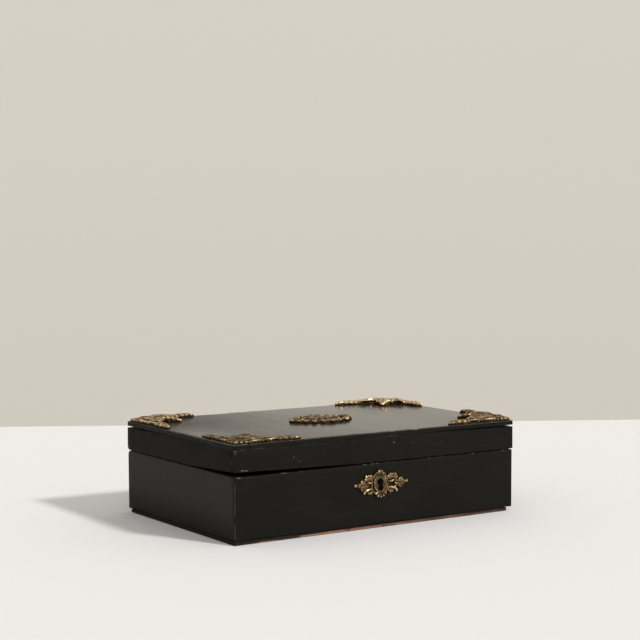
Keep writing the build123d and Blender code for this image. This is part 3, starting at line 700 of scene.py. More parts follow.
def plank(name, low, high, grain, worn):
    """A squared board with lines beside its edges, cuts along its grain, and its edges eased."""
    board = bpy.context.scene.deed_box.board
    thin = min(high - low)
    piece = block(name, low, high)
    with editing(piece):
        for axis in range(3):
            normal = [float(axis == other) for other in range(3)]
            margin = min(board.margin, (high[axis] - low[axis]) * 0.3)
            for place in (low[axis] + margin, high[axis] - margin):
                bpy.ops.mesh.select_all(action="SELECT")
                point = [place if axis == other else 0.0 for other in range(3)]
                bpy.ops.mesh.bisect(plane_co=point, plane_no=normal)
        span = high[grain] - low[grain] - 2 * board.margin
        pick(piece, "EDGE", lambda e: abs(e.verts[0].co[grain] - e.verts[1].co[grain]) > span * 0.9)
        bpy.ops.mesh.subdivide(number_cuts=round(span / board.step))
        pick(piece, "EDGE", lambda e: is_arris(e, worn))
        bpy.ops.mesh.bevel(offset=min(board.arris, thin * 0.2), segments=4, profile=0.5, affect="EDGES")
        pick(piece, "EDGE", lambda e: is_arris(e, lambda place: not worn(place)))
        bpy.ops.mesh.bevel(offset=board.joint, segments=2, profile=0.5, affect="EDGES")
    return piece


def warp(piece, corner, axis, run, level, shift):
    """Pulls the rim at a corner off level, easing back to nothing along one run."""
    rim_depth, end_depth = 3.0 * MM, 1.2 * MM
    places = [vertex.co[axis] for vertex in piece.data.vertices]
    end = min(places, key=lambda place: abs(place - corner[axis]))
    with editing(piece):
        pick(piece, "VERT", lambda v: abs(v.co.z - level) > rim_depth)
        bpy.ops.mesh.hide(unselected=False)
        pick(piece, "VERT", lambda v: abs(v.co[axis] - end) < end_depth)
        bpy.ops.transform.translate(
            value=(0, 0, shift),
            use_proportional_edit=True,
            proportional_edit_falloff="LINEAR",
            proportional_size=run,
        )
        bpy.ops.mesh.reveal()


def weather(piece, low, high):
    """Makes a board's edges uneven, and its faces a little."""
    board = bpy.context.scene.deed_box.board
    edge_band, edge_lumps, face_waves = 1.6 * MM, 6 * MM, 45 * MM
    edges = piece.vertex_groups.new(name="edges")
    for vertex in piece.data.vertices:
        gaps = sorted(min(vertex.co[axis] - low[axis], high[axis] - vertex.co[axis]) for axis in range(3))
        if gaps[1] < edge_band:
            edges.add([vertex.index], 1.0, "REPLACE")
    rippled(piece, "edges", edge_lumps, board.ripple, 0.62)
    rippled(piece, "", face_waves, board.ripple * 0.5, 0.5)


def gouge(centre, size, random_turn):
    """A rough lump for a dent or chip."""
    deselect()
    turn = [random_turn.uniform(0, math.tau) for axis in range(3)]
    bpy.ops.mesh.primitive_ico_sphere_add(subdivisions=2, radius=1.0, rotation=turn)
    lump = settle(bpy.context.object)
    bpy.ops.transform.resize(value=size)
    lump.location = centre
    settle(lump)
    with editing(lump):
        bpy.ops.mesh.select_all(action="SELECT")
        bpy.ops.transform.vertex_random(offset=min(size) * 0.22, seed=random_turn.randrange(1000))
    return lump


def dents(edges, count, random_turn):
    """Small chips at random places along some of a board's edges."""
    lumps = []
    for dent in range(count):
        start, end = random_turn.choice(edges)
        place = Vector(start).lerp(Vector(end), random_turn.random())
        size = [random_turn.uniform(0.45, 0.9) * MM for axis in range(3)]
        run = max(range(3), key=lambda axis: abs(end[axis] - start[axis]))
        size[run] *= random_turn.uniform(1.2, 3.5)
        lumps.append(gouge(place, size, random_turn))
    return lumps


def smooth_board(piece):
    """Points a board's faces outwards and shades them smooth but for its arrises."""
    with editing(piece):
        bpy.ops.mesh.select_all(action="SELECT")
        bpy.ops.mesh.normals_make_consistent(inside=False)
    hold(piece)
    bpy.ops.object.shade_smooth_by_angle(angle=math.radians(38))


# Chips in the paint, in millimetres: X and radius along the case's front rim, the same from the near corner
# along the top board's front edge, and X, Z and radius on the front of the lid.
FRONT_RIM_CHIPS = (
    (-156, 3), (-114, 2.4), (-110, 2.6), (-106, 2.6), (-90, 2.6), (-80, 2.2),
    (-19, 2.6), (-10.6, 2.2), (-5, 2.4), (57, 2.2), (81, 2.0), (110, 2.2), (148, 2.6),
)
TOP_CHIPS = ((201.5, 4), (197, 3), (206, 2.5), (186, 2), (172, 2), (60, 2.0), (2, 2.2), (12, 1.6))
LID_FRONT_CHIPS = (
    (-152, 66.6, 2.4), (-148, 66.2, 2.0), (-98, 74, 1.6), (-92, 70, 1.5), (36, 77, 1.3), (14, 79, 1.3),
    (-160.3, 84, 1.6), (-160.3, 81.8, 1.4),
)
# Pieces broken out of the top board: where, from its near corner, and how big, in millimetres.
TOP_BREAKS = (
    ((1.0, 0.4, 0.3), (2.6, 1.6, 1.5)),
    ((9.0, 0.2, 0.2), (3.0, 1.0, 1.0)),
    ((201.5, 0.1, 0.2), (3.2, 1.2, 1.2)),
)
SPLIT = Vector((15.5, 0, -1.5)) * MM  # the split, from the same corner
SPLIT_LOW, SPLIT_HIGH = Vector((-0.42, -3, -3.4)) * MM, Vector((0.42, 2.2, 3.4)) * MM
SPLIT_LEAN = math.radians(-38)
ARRIS_SAG = 1.3 * MM
SAG_START, SAG_END = -80 * MM, 85 * MM
# Each warp is its corner, its runs along X and Y and its depth there.
NEAR_CORNER = (LID_LOW.x, LID_LOW.y)
CASE_WARP = (NEAR_CORNER, (RIM_WARP_FRONT, RIM_WARP_SIDE), CASE_RIM_WARP)
LID_WARP = (NEAR_CORNER, (RIM_WARP_FRONT, RIM_WARP_SIDE), LID_RIM_WARP)
LID_BOW = (NEAR_CORNER, (LID_RIM_BOW_RUN, RIM_WARP_SIDE), LID_RIM_BOW)
BACK_LEFT_WARP = ((LID_LOW.x, LID_HIGH.y), (TOP_WARP_LONG, -TOP_WARP_SIDE), TOP_WARP)
FRONT_RIGHT_WARP = ((LID_HIGH.x, LID_LOW.y), (-TOP_WARP_LONG, TOP_WARP_SIDE), TOP_WARP)


def outer(low, high, tight=math.inf):
    """Says whether a place is on an edge of the whole box or lid that is worn, so not in a tight joint."""

    def test(place):
        on_side = near(place.x, low.x) or near(place.x, high.x)
        on_face = near(place.y, low.y) or near(place.y, high.y)
        on_rim = near(place.z, low.z) or near(place.z, high.z)
        return on_side + on_face + on_rim >= 2 and not near(place.z, tight)

    return test


def board_box(low, high, side, grain):
    """Where a board stands in a case or lid.

    With its grain along X it is the front (side -1) or back (1), and along Y the left or right end.
    """
    low, high = low.copy(), high.copy()
    across = Y if grain == X else X
    if side < 0:
        high[across] = low[across] + WALL
    else:
        low[across] = high[across] - WALL
    if grain == Y:
        low.y += LIP
        high.y -= LIP
    return low, high


def rabbets(low, high, side):
    """Cutters behind the lips at both ends of the front (side -1) or back (1) board."""
    outside = low.y if side < 0 else high.y
    near_y, far_y = sorted((outside - side * LIP, outside - side * (WALL + REACH)))
    ends = ((low.x - REACH, low.x + WALL), (high.x - WALL, high.x + REACH))
    return [block("rabbet", (x0, near_y, low.z - REACH), (x1, far_y, high.z + REACH)) for x0, x1 in ends]


def back_bevel(side):
    """The wedge that comes off a rim behind the hinge axis: side is 1 for the lid, -1 for the case."""
    deselect()
    bpy.ops.mesh.primitive_cube_add(size=2 * REACH, location=(0, HINGE_Y, HINGE_Z))
    wedge = bpy.context.object
    bpy.ops.transform.resize(value=(12, 1, 1))
    settle(wedge)
    slope = (0, -math.sin(BEVEL_SLOPE), side * math.cos(BEVEL_SLOPE))
    with editing(wedge):
        for normal, height in ((slope, HINGE_Z), ((0, 0, -side), HINGE_Z - side * HALF_RIM_GAP)):
            bpy.ops.mesh.select_all(action="SELECT")
            bpy.ops.mesh.bisect(
                plane_co=(0, HINGE_Y, height), plane_no=normal, use_fill=True, clear_outer=True
            )
    return wedge


def hinge_seats(side):
    """Cutters for the leaves and barrels of both hinges in one rim."""
    rim_z = LID_LOW.z if side > 0 else CASE_HIGH.z
    bottom, top = sorted((rim_z + side * LEAF_THICK, rim_z - side * REACH))
    cutters = []
    for name in ("left_hinge_case_leaf", "right_hinge_case_leaf"):
        low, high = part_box(name)
        left, right = low.x - TOUCH, high.x + TOUCH
        barrel = ((left, HINGE_Y, HINGE_Z), (right, HINGE_Y, HINGE_Z))
        cutters.append(block("leaf", (left, low.y - TOUCH, bottom), (right, HINGE_Y, top)))
        cutters.append(peg("barrel", *barrel, BARREL_ROOM, sides=48))
    return cutters


def keyhole(front, back):
    """The keyhole's cutter, between two planes."""
    x, half = KEYHOLE_X, KEYHOLE_SLOT / 2
    hole = peg("keyhole", (x, front, KEYHOLE_Z), (x, back, KEYHOLE_Z), KEYHOLE_RADIUS, sides=40)
    slot = block("slot", (x - half, front, KEYHOLE_Z - KEYHOLE_DROP), (x + half, back, KEYHOLE_Z))
    return [hole, slot]


def lock_seat():
    """Cutters for the lock in the back of the case's front board."""
    pockets = (
        ("plate", PLATE_LOW, PLATE_HIGH, PLATE_HIGH.y - SELVEDGE, PLATE_LOW.z - TOUCH),
        ("selvedge", PLATE_LOW, PLATE_HIGH, PLATE_LOW.y, CASE_HIGH.z - SELVEDGE),
        ("cap", CAP_LOW, CAP_HIGH, CAP_LOW.y, CAP_LOW.z - TOUCH),
    )
    behind, above = PLATE_HIGH.y + REACH, CASE_HIGH.z + REACH
    return [
        block(name, (low.x - TOUCH, front, foot), (high.x + TOUCH, behind, above))
        for name, low, high, front, foot in pockets
    ]


def nail_places(name):
    """Side, place along the end and height of each nail of a node."""
    low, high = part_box(name)
    ends = (low.y + NAIL_HEAD, high.y - NAIL_HEAD)
    heights = sorted({round(low.z + NAIL_HEAD, 6), round(high.z - NAIL_HEAD, 6)})
    return [(side, end, z) for side in (-1, 1) for end in ends for z in heights]


def nail_pits(name, side):
    """Shallow pits over the heads of a node's nails in one end."""
    outside = side * (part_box(name)[1].x + REACH)
    inside = side * (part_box(name)[1].x - NAIL_PIT)
    return [
        peg("pit", (outside, end, z), (inside, end, z), NAIL_HEAD * 1.15, sides=20)
        for at, end, z in nail_places(name) if at == side
    ]


def run_of(low, high, **fixed):
    """A straight run along a box with two axes fixed, a little short of its ends."""
    short = 2 * MM
    start = Vector([fixed.get("xyz"[at], low[at] + short) for at in range(3)])
    end = Vector([fixed.get("xyz"[at], high[at] - short) for at in range(3)])
    return start, end


def frame_board(name, low, high, side, grain, cutters, tight=math.inf, shifts=(), worn=(), **wear):
    """Makes, cuts, wears and paints one of the four boards of the case or lid.

    shifts are its warps, worn is the runs to dent, how many dents and the chance, and wear is for its paint.
    """
    box = board_box(low, high, side, grain)
    board = plank(name, *box, grain, outer(low, high, tight))
    weather(board, low, high)
    for shift in shifts:
        warp(board, *shift)
    carve(board, (rabbets(low, high, side) if grain == X else []) + cutters)
    if worn:
        carve(board, dents(*worn))
    smooth_board(board)
    paint = painted_wood(f"paint_{name}", *box, grain, **wear)
    finished(board, name.split("_")[0], "painted_wood", paint, f"{name}_board")


class DEEDBOX_OT_case_boards(bpy.types.Operator):
    """Builds the four boards of the case"""

    bl_idname = "deed_box.case_boards"
    bl_label = "Case boards"

    def execute(self, context):
        chance = random.Random(context.scene.deed_box.seed)
        low, high = CASE_LOW, CASE_HIGH
        rim, foot = (run_of(low, high, y=low.y, z=level) for level in (high.z, low.z))
        frame_board(
            "case_front", low, high, -1, X, lock_seat() + keyhole(low.y - REACH, PLATE_LOW.y + REACH),
            shifts=[(low, X, RIM_WARP_FRONT, high.z, -CASE_RIM_WARP)],
            worn=([rim, rim, foot], 24, chance),
            high_dips=[CASE_WARP],
            chips=[(Vector((at * MM, low.y, high.z)), radius * MM) for at, radius in FRONT_RIM_CHIPS],
            worn_post=(low.x, low.y),
        )
        foot = run_of(low, high, y=high.y, z=low.z)
        frame_board(
            "case_back", low, high, 1, X, hinge_seats(-1) + [back_bevel(-1)],
            worn=([foot], 8, chance),
        )
        warped = {
            "shifts": [(low, Y, RIM_WARP_SIDE, high.z, -CASE_RIM_WARP)],
            "high_dips": [CASE_WARP],
            # painted reflection on the left end board, darker toward its foot as painted shade
            "painted_sheen": 0.74,
        }
        for name, side, face, own in (("case_left", -1, low.x, warped), ("case_right", 1, high.x, {})):
            runs = [run_of(low, high, x=face, z=level) for level in (low.z, high.z, high.z)]
            cutters = [back_bevel(-1)] + nail_pits("case_corner_nails", side)
            frame_board(name, low, high, side, Y, cutters, worn=(runs, 14, chance), **own)
        return {"FINISHED"}


class DEEDBOX_OT_lid_boards(bpy.types.Operator):
    """Builds the four boards of the lid's frame and the top board"""

    bl_idname = "deed_box.lid_boards"
    bl_label = "Lid boards"

    def execute(self, context):
        chance = random.Random(context.scene.deed_box.seed + 1)
        low = LID_LOW
        high = Vector((LID_HIGH.x, LID_HIGH.y, TOP_LOW.z))
        sunk = {"tight": high.z, "high_dips": [BACK_LEFT_WARP, FRONT_RIGHT_WARP]}
        sprung = {**sunk, "low_dips": [LID_WARP, LID_BOW]}
        link = block(
            "link", (LINK_LOW.x - TOUCH, LINK_LOW.y - TOUCH, low.z - REACH),
            (LINK_HIGH.x + TOUCH, LINK_HIGH.y + REACH, LINK_HIGH.z),
        )
        frame_board(
            "lid_front", low, high, -1, X, [link],
            shifts=[
                (low, X, LID_RIM_BOW_RUN, low.z, LID_RIM_BOW),
                (low, X, RIM_WARP_FRONT, low.z, LID_RIM_WARP),
                (high, X, TOP_WARP_LONG, high.z, -TOP_WARP),
            ],
            worn=([run_of(low, high, y=low.y, z=low.z)], 16, chance),
            chips=[(Vector((x * MM, low.y, z * MM)), radius * MM) for x, z, radius in LID_FRONT_CHIPS],
            **sprung,
        )
        frame_board(
            "lid_back", low, high, 1, X, hinge_seats(1) + [back_bevel(1)],
            shifts=[(low, X, TOP_WARP_LONG, high.z, -TOP_WARP)], **sunk,
        )
        lifted = (low, Y, RIM_WARP_SIDE, low.z, LID_RIM_WARP + LID_RIM_BOW)
        back_down = (high, Y, TOP_WARP_SIDE, high.z, -TOP_WARP)
        front_down = (low, Y, TOP_WARP_SIDE, high.z, -TOP_WARP)
        for name, side, face, shifts, own in (
            ("lid_left", -1, low.x, [lifted, back_down], {**sprung, "shine": 0.6}),
            ("lid_right", 1, high.x, [front_down], sunk),
        ):
            runs = [run_of(low, high, x=face, z=level) for level in (low.z, high.z)]
            cutters = [back_bevel(1)] + nail_pits("lid_corner_nails", side)
            frame_board(name, low, high, side, Y, cutters, shifts=shifts, worn=(runs, 16, chance), **own)
        self.top_board(TOP_LOW, TOP_HIGH, chance)
        return {"FINISHED"}

    def top_board(self, low, high, chance):
        """The board that is nailed on the frame, its left arris low and its near corner split."""
        top = plank("lid_top", low, high, X, outer(low, high, tight=low.z))
        weather(top, low, high)
        with editing(top):
            pick(top, "VERT", lambda v: v.co.z < low.z + 1.2 * MM)
            bpy.ops.mesh.hide(unselected=False)
            pick(top, "VERT", lambda v: v.co.x < low.x + 1.4 * MM and SAG_START < v.co.y < SAG_END)
            bpy.ops.transform.translate(
                value=(0, 0, -ARRIS_SAG),
                use_proportional_edit=True,
                proportional_edit_falloff="SMOOTH",
                proportional_size=16 * MM,
            )
            bpy.ops.mesh.reveal()
        runs = [run_of(low, high, y=low.y, z=high.z), run_of(low, high, x=low.x, z=high.z)]
        carve(top, dents(runs, 18, chance))
        corner = Vector((low.x, low.y, high.z))
        breaks = [
            gouge(corner + Vector(place) * MM, [side * MM for side in size], chance)
            for place, size in TOP_BREAKS
        ]
        carve(top, [*breaks, self.split(corner + SPLIT)])
        smooth_board(top)
        chips = [(corner + Vector((at, 0, 0)) * MM, radius * MM) for at, radius in TOP_CHIPS]
        paint = painted_wood("paint_lid_top", low, high, X, chips=chips, waxed=True)
        finished(top, "lid", "painted_wood", paint, "lid_top_board")

    def split(self, place):
        """A thin slanting cut through an edge."""
        cut = block("split", SPLIT_LOW, SPLIT_HIGH)
        cut.rotation_euler.y = SPLIT_LEAN
        cut.location = place
        return settle(cut)


class DEEDBOX_OT_bottom_board(bpy.types.Operator):
    """Builds the bare bottom board"""

    bl_idname = "deed_box.bottom_board"
    bl_label = "Bottom board"

    def execute(self, context):
        chance = random.Random(context.scene.deed_box.seed + 2)
        low, high = BOTTOM_LOW, BOTTOM_HIGH
        bottom = plank("case_bottom", low, high, X, lambda place: near(place.z, low.z))
        weather(bottom, low, high)
        carve(bottom, dents([run_of(low, high, y=low.y, z=low.z)], 12, chance))
        carve(bottom, [block("table", (-8 * REACH, -8 * REACH, -REACH), (8 * REACH, 8 * REACH, low.z))])
        smooth_board(bottom)
        finished(bottom, "case", "bare_wood", raw_wood("bare_bottom_wood"), "bottom_board")
        return {"FINISHED"}


class DEEDBOX_OT_corner_nails(bpy.types.Operator):
    """Models one nail and copies it to each nail's place in the ends of the case and lid"""

    bl_idname = "deed_box.corner_nails"
    bl_label = "Corner nails"

    def execute(self, context):
        iron = old_iron("nail_iron", 1.0, context.scene.deed_box.trim.nail_rust)
        pattern = self.nail(NAIL_LENGTH)
        for node, name, body in (
            ("case_corner_nails", "case_nails", "case"),
            ("lid_corner_nails", "lid_nails", "lid"),
        ):
            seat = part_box(node)[1].x - NAIL_SUNK
            nails = []
            for side, end, z in nail_places(node):
                nail = copied(pattern)
                nail.rotation_euler = (0, side * math.pi / 2, 0)
                nail.location = (side * seat, end, z)
                nails.append(settle(nail))
            finished(join(name, nails), body, "iron", iron, node)
        hold(pattern)
        bpy.ops.object.delete()
        return {"FINISHED"}

    def nail(self, reach):
        """A hand-made nail, its domed head at the origin and its shank down."""
        deselect()
        bpy.ops.mesh.primitive_cylinder_add(vertices=16, radius=NAIL_HEAD * 0.5, depth=reach)
        nail = bpy.context.object
        nail.location.z = -reach / 2
        settle(nail)
        with editing(nail):
            pick(nail, "FACE", lambda face: face.normal.z < -0.9)
            bpy.ops.transform.resize(value=(0.35, 0.35, 1))
            pick(nail, "FACE", lambda face: face.normal.z > 0.9)
            bpy.ops.mesh.extrude_region_move()
            bpy.ops.transform.resize(value=(1.9, 1.9, 1))
            bpy.ops.mesh.extrude_region_move(TRANSFORM_OT_translate={"value": (0, 0, 0.30 * MM)})
            bpy.ops.mesh.extrude_region_move(TRANSFORM_OT_translate={"value": (0, 0, 0.15 * MM)})
            bpy.ops.transform.resize(value=(0.6, 0.6, 1))
        hold(nail)
        bpy.ops.object.shade_smooth_by_angle(angle=math.radians(40))
        return nail


class DEEDBOX_OT_metalwork(bpy.types.Operator):
    """Finishes the lock, hinges, screws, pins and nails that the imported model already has"""

    bl_idname = "deed_box.metalwork"
    bl_label = "Lock, hinges and fastenings"

    def execute(self, context):
        skins = {
            "lock_brass": sheet_brass("lock_and_hinge_brass"),
            "iron": old_iron("screw_and_spring_iron", 0.4, context.scene.deed_box.trim.rust),
            "mount_brass": pin_brass("pin_brass"),
            "lining_paper": lining_paper("lining_paper_skin"),
        }
        for node in frame["nodes"].values():
            kind = node.data.materials[0].name.split(".")[0]
            if node.hide_render or kind not in skins:
                continue
            for slot in node.material_slots:
                slot.link = "OBJECT"
                slot.material = skins[kind]
        return {"FINISHED"}


class DEEDBOX_OT_stage(bpy.types.Operator):
    """Sets up the floor, backdrop, lamps and camera"""

    bl_idname = "deed_box.stage"
    bl_label = "Stage"

    def execute(self, context):
        scene = context.scene
        stage = scene.deed_box.stage
        scene.view_settings.view_transform = "Standard"
        self.surfaces(stage)
        self.light(scene, stage)
        deselect()
        bpy.ops.object.camera_add(location=stage.place)
        camera = context.object
        camera.name = "camera"
        camera.data.lens = stage.lens
        camera.data.sensor_width = 36
        camera.rotation_euler = (math.pi / 2 - stage.tilt, 0, stage.turn)
        scene.camera = camera
        return {"FINISHED"}

    def surfaces(self, stage):
        """A table that ends behind the box, and a backdrop past its end."""
        floor_size, wall_size, wall_middle, below = 12, 16, 6, 0.1 * MM
        heading = stage.turn + stage.skew
        away = Vector((-math.sin(heading), math.cos(heading), 0))
        ahead = Vector((-math.sin(stage.turn), math.cos(stage.turn), 0))
        edge = Vector((stage.place[0], stage.place[1], -below)) + ahead * stage.table
        deselect()
        bpy.ops.mesh.primitive_plane_add(
            size=floor_size, location=edge - away * floor_size / 2, rotation=(0, 0, heading)
        )
        floor = bpy.context.object
        floor.name = "floor"
        floor.data.materials.append(self.plain("table_white", stage.floor))
        deselect()
        foot = edge + away * stage.gap
        bpy.ops.mesh.primitive_plane_add(
            size=wall_size, location=foot + Vector((0, 0, wall_middle)), rotation=(math.pi / 2, 0, heading)
        )
        wall = bpy.context.object
        wall.name = "backdrop"
        wall.data.materials.append(self.plain("backdrop_grey", stage.wall))

    def light(self, scene, stage):
        """Even light from all round, and a soft sun."""
        world = bpy.data.worlds.new("even_light")
        scene.world = world
        world.use_nodes = True
        sky = world.node_tree.nodes["Background"]
        sky.inputs["Color"].default_value = (*stage.skylight, 1)
        sky.inputs["Strength"].default_value = stage.sky
        deselect()
        bpy.ops.object.light_add(type="SUN", location=stage.towards)
        lamp = bpy.context.object
        lamp.name = "soft_sun"
        lamp.data.energy = stage.lamp
        lamp.data.angle = stage.spread
        lamp.data.color = stage.sunlight
        lamp.rotation_euler = Vector(stage.towards).to_track_quat("Z", "Y").to_euler()

    def plain(self, name, shade):
        """A matt, even colour."""
        finish = Finish(name, Roughness=0.9, Specular_IOR_Level=0.2)
        finish.shader.inputs["Base Color"].default_value = (*shade, 1)
        return finish.material


# ---- brass castings ------------------------------------------------------------------------
# A casting is laid out in millimetres in its own frame: along, off and up from its back.
PLATE = 1.2  # thickness of a mount's web
WEB = 0.9  # how far the web stands out beside a curl
CLEAR_ABOVE = 20  # a height above every casting
ARM_REACH = 72  # length of the arm that a corner mount's layout is for
ARM_CLOSING = 0.085  # how much nearer to the edge an arm's ornament comes with each millimetre
MOUNT_INSET = 0.5 * MM  # from the edge of the lid
MOUNT_FOOT_SHADE, MEDALLION_FOOT_SHADE = 1.3 * MM, 2.3 * MM  # how high painted shade stands round the foot
SKIN_LUMPS, SKIN_DEPTH = 2.2 * MM, 0.3 * MM  # unevenness of a cast skin
RELIEF_REACH = 0.55 * MM  # how far above those around it a point is fully raised
RELIEF_ROUNDS = 40  # of averaging, to find the level round each point
WORN_LOW = {"front_left_corner_mount": 0.80}  # how high a mount still stands beside a fresh one
# Painted light for each mount: above zero its brass is darkened as painted shade, below zero lightened as a
# painted highlight, for how it is lit.
MOUNT_PAINTED_LIGHT = {
    "front_left_corner_mount": 0.05,
    "front_right_corner_mount": 0.02,
    "back_left_corner_mount": -0.09,
    "back_right_corner_mount": -0.24,
}
# The escutcheon's leaves, right of its middle: whether the place shifts with the lock, along, off, heading,
# length, width, bend, lobes, rise and crown.
ESCUTCHEON_LEAVES = (
    (1, 8.8, 4.0, 48, 9.0, 6.0, -36, 3, (1.4, 2.6, 1.6), 0.8),
    (1, 15.5, 1.6, 74, 8.4, 5.6, 14, 3, (1.4, 2.9, 1.5), 0.9),
    (0, 15.0, 0.2, -2, 13.5, 8.6, 4, 4, (1.6, 2.6, 1.1), 1.0),
    (0, 19.0, 1.4, 36, 6.4, 4.4, -24, 2, (1.4, 2.3, 1.2), 0.7),
    (0, 19.0, -1.6, -40, 6.0, 4.2, 26, 2, (1.3, 2.1, 1.1), 0.7),
    (1, 8.6, -5.0, -40, 7.4, 5.2, 40, 3, (1.2, 2.2, 1.4), 0.8),
)


def scroll(middle, heading, length, turns, up, thick):
    """A stem that curls at both ends, as (along, off, up, radius) points either side of its middle.

    turns are how far its start curls, its middle bends and its end curls, in degrees.
    """
    steps = 15
    halves = []
    for way, turn in ((-1, turns[0]), (1, turns[2])):
        place = Vector(middle)
        angle = math.radians(heading)
        half = []
        for step in range(1, steps + 1):
            share = step / steps
            rate = math.radians(turn) * 5.0 * share**4 + math.radians(turns[1]) * 0.5
            angle += way * rate / steps
            stride = length / 2 / steps * (1.35 - 0.7 * share)
            place += Vector((math.cos(angle), math.sin(angle))) * stride * way
            end_thick = thick[0] if way < 0 else thick[2]
            end_up = up[0] if way < 0 else up[2]
            ease = share * share * (3 - 2 * share)
            half.append((*place, up[1] + (end_up - up[1]) * ease, thick[1] + (end_thick - thick[1]) * ease))
        halves.append(half)
    return [*reversed(halves[0]), (*middle, up[1], thick[1]), *halves[1]]


class Casting:
    """The lumps of one casting, gathered before they are fused.

    While swapped, along and off change places in what is added, for the other arm of a corner.
    """

    def __init__(self):
        self.lumps = []
        self.swapped = False

    def keep(self, lump):
        """Keeps a lump."""
        if self.swapped:
            with editing(lump):
                mesh = bmesh.from_edit_mesh(lump.data)
                for vertex in mesh.verts:
                    vertex.co.xy = vertex.co.yx
                bmesh.update_edit_mesh(lump.data)
        self.lumps.append(lump)

    def stem(self, line, ground=0.0):
        """A round stem through points, on a flat web that stands out from it by ground."""
        for flat in (False, True) if ground else (False,):
            deselect()
            bpy.ops.curve.primitive_nurbs_path_add()
            stem = bpy.context.object
            spline = stem.data.splines[0]
            spline.points.add(len(line) - len(spline.points))
            for point, (along, off, up, radius) in zip(spline.points, line):
                point.co = Vector((along * MM, off * MM, 0 if flat else up * MM, 1))
                point.radius = radius + ground if flat else radius
            spline.order_u = 4
            spline.resolution_u = 4
            stem.data.bevel_depth = MM
            stem.data.bevel_resolution = 3
            stem.data.use_fill_caps = True
            bpy.ops.object.convert(target="MESH")
            if flat:
                height = PLATE / max(radius + ground for along, off, up, radius in line)
                bpy.ops.transform.resize(value=(1, 1, height))
            self.keep(settle(stem))

    def curl(self, *shape):
        """A scroll on a web, with a bead in the eye of each curl."""
        line = scroll(*shape)
        self.stem(line, ground=WEB)
        for along, off, up, radius in (line[0], line[-1]):
            self.bead(along, off, up, radius * 1.5)

    def ring(self, middle, half_along, half_off, up, radius, pitch=15):
        """A stem round an oval, with a point at each pitch in degrees; its ends lie over each other."""
        line = []
        for angle in range(0, 400, pitch):
            turned = math.radians(angle)
            along = middle[0] + half_along * math.cos(turned)
            line.append((along, middle[1] + half_off * math.sin(turned), up, radius))
        self.stem(line)

    def sheet(self, rows, columns, shape, thick):
        """A grid primitive laid over a shape of two shares, then given a thickness or filled below."""
        deselect()
        bpy.ops.mesh.primitive_grid_add(x_subdivisions=rows, y_subdivisions=columns, size=2)
        sheet = bpy.context.object
        with editing(sheet):
            mesh = bmesh.from_edit_mesh(sheet.data)
            for vertex in mesh.verts:
                vertex.co = Vector(shape((vertex.co.x + 1) / 2, vertex.co.y)) * MM
            bmesh.update_edit_mesh(sheet.data)
        if thick:
            modify(sheet, "SOLIDIFY", thickness=thick * MM, offset=-1.0)
        with editing(sheet):
            bpy.ops.mesh.select_all(action="SELECT")
            if not thick:
                bpy.ops.mesh.extrude_region_move()
                bpy.ops.transform.resize(value=(1, 1, 0), center_override=(0, 0, -0.6 * MM))
                bpy.ops.mesh.select_all(action="SELECT")
            bpy.ops.mesh.remove_doubles(threshold=0.02 * MM)
            bpy.ops.mesh.normals_make_consistent(inside=False)
        self.keep(sheet)

    def leaf(self, base, heading, length, width, bend=0, lobes=4, rise=(1.5, 3.5, 2.0), crown=1, thick=1.3):
        """An acanthus leaf with toothed sides, a sunk midrib and veins out to its teeth."""
        radius = length / math.radians(bend) if abs(bend) > 1 else 0.0

        def spine(share):
            first, turned = math.radians(heading), math.radians(heading + bend * share)
            if radius:
                arc = (math.sin(turned) - math.sin(first), math.cos(first) - math.cos(turned))
                return Vector(base) + Vector(arc) * radius, turned
            return Vector(base) + Vector((math.cos(turned), math.sin(turned))) * length * share, turned

        def shape(share, side):
            middle_place, turned = spine(share)
            tooth = (lobes * share) % 1.0
            saw = 0.66 + 0.34 * math.sin(math.pi * min(1.0, tooth * 1.15)) if lobes > 1 else 1.0
            half = width / 2 * math.sin(math.pi * (0.08 + 0.92 * share) ** 0.8) ** 0.75 * saw
            ahead = abs(side) ** 1.5 * length * 0.06
            place = middle_place + Vector((math.cos(turned), math.sin(turned))) * ahead * (1 - share)
            place += Vector((-math.sin(turned), math.cos(turned))) * side * max(half, 0.05)
            if share < 0.5:
                level = rise[0] + (rise[1] - rise[0]) * math.sin(math.pi * share)
            else:
                level = rise[2] + (rise[1] - rise[2]) * math.sin(math.pi * share)
            level += crown * (1 - side * side) - 0.75 * crown * math.exp(-((side / 0.16) ** 2))
            level += 0.30 * math.cos(math.tau * (lobes * share - 0.55 * abs(side))) * abs(side)
            return place.x, place.y, level

        self.sheet(max(10, lobes * 7), 11, shape, thick)

    def fan(self, hub, heading, spread, inner, outer, flutes, rise, room=math.inf):
        """A shell: flutes from a hub to a scalloped rim that turns up and stays within room of the hub."""

        def shape(share, side):
            angle = math.radians(heading + spread * (share - 0.5))
            wave = abs(math.sin(math.pi * flutes * share))
            reach = (side + 1) / 2
            edge = min(outer, room / max(abs(math.cos(angle)), abs(math.sin(angle)))) * (0.90 + 0.10 * wave)
            radius = inner + (edge - inner) * reach
            level = rise[0] + (rise[1] - rise[0]) * reach**1.6 + (wave - 0.5) * 1.5 * reach
            return hub[0] + radius * math.cos(angle), hub[1] + radius * math.sin(angle), level

        self.sheet(flutes * 7, 10, shape, 0)

    def bead(self, along, off, up, radius, squash=0.8):
        """A ball sunk in the casting."""
        deselect()
        bpy.ops.mesh.primitive_uv_sphere_add(segments=16, ring_count=10, radius=radius * MM)
        ball = bpy.context.object
        bpy.ops.transform.resize(value=(1, 1, squash))
        ball.location = Vector((along, off, up)) * MM
        self.keep(settle(ball))

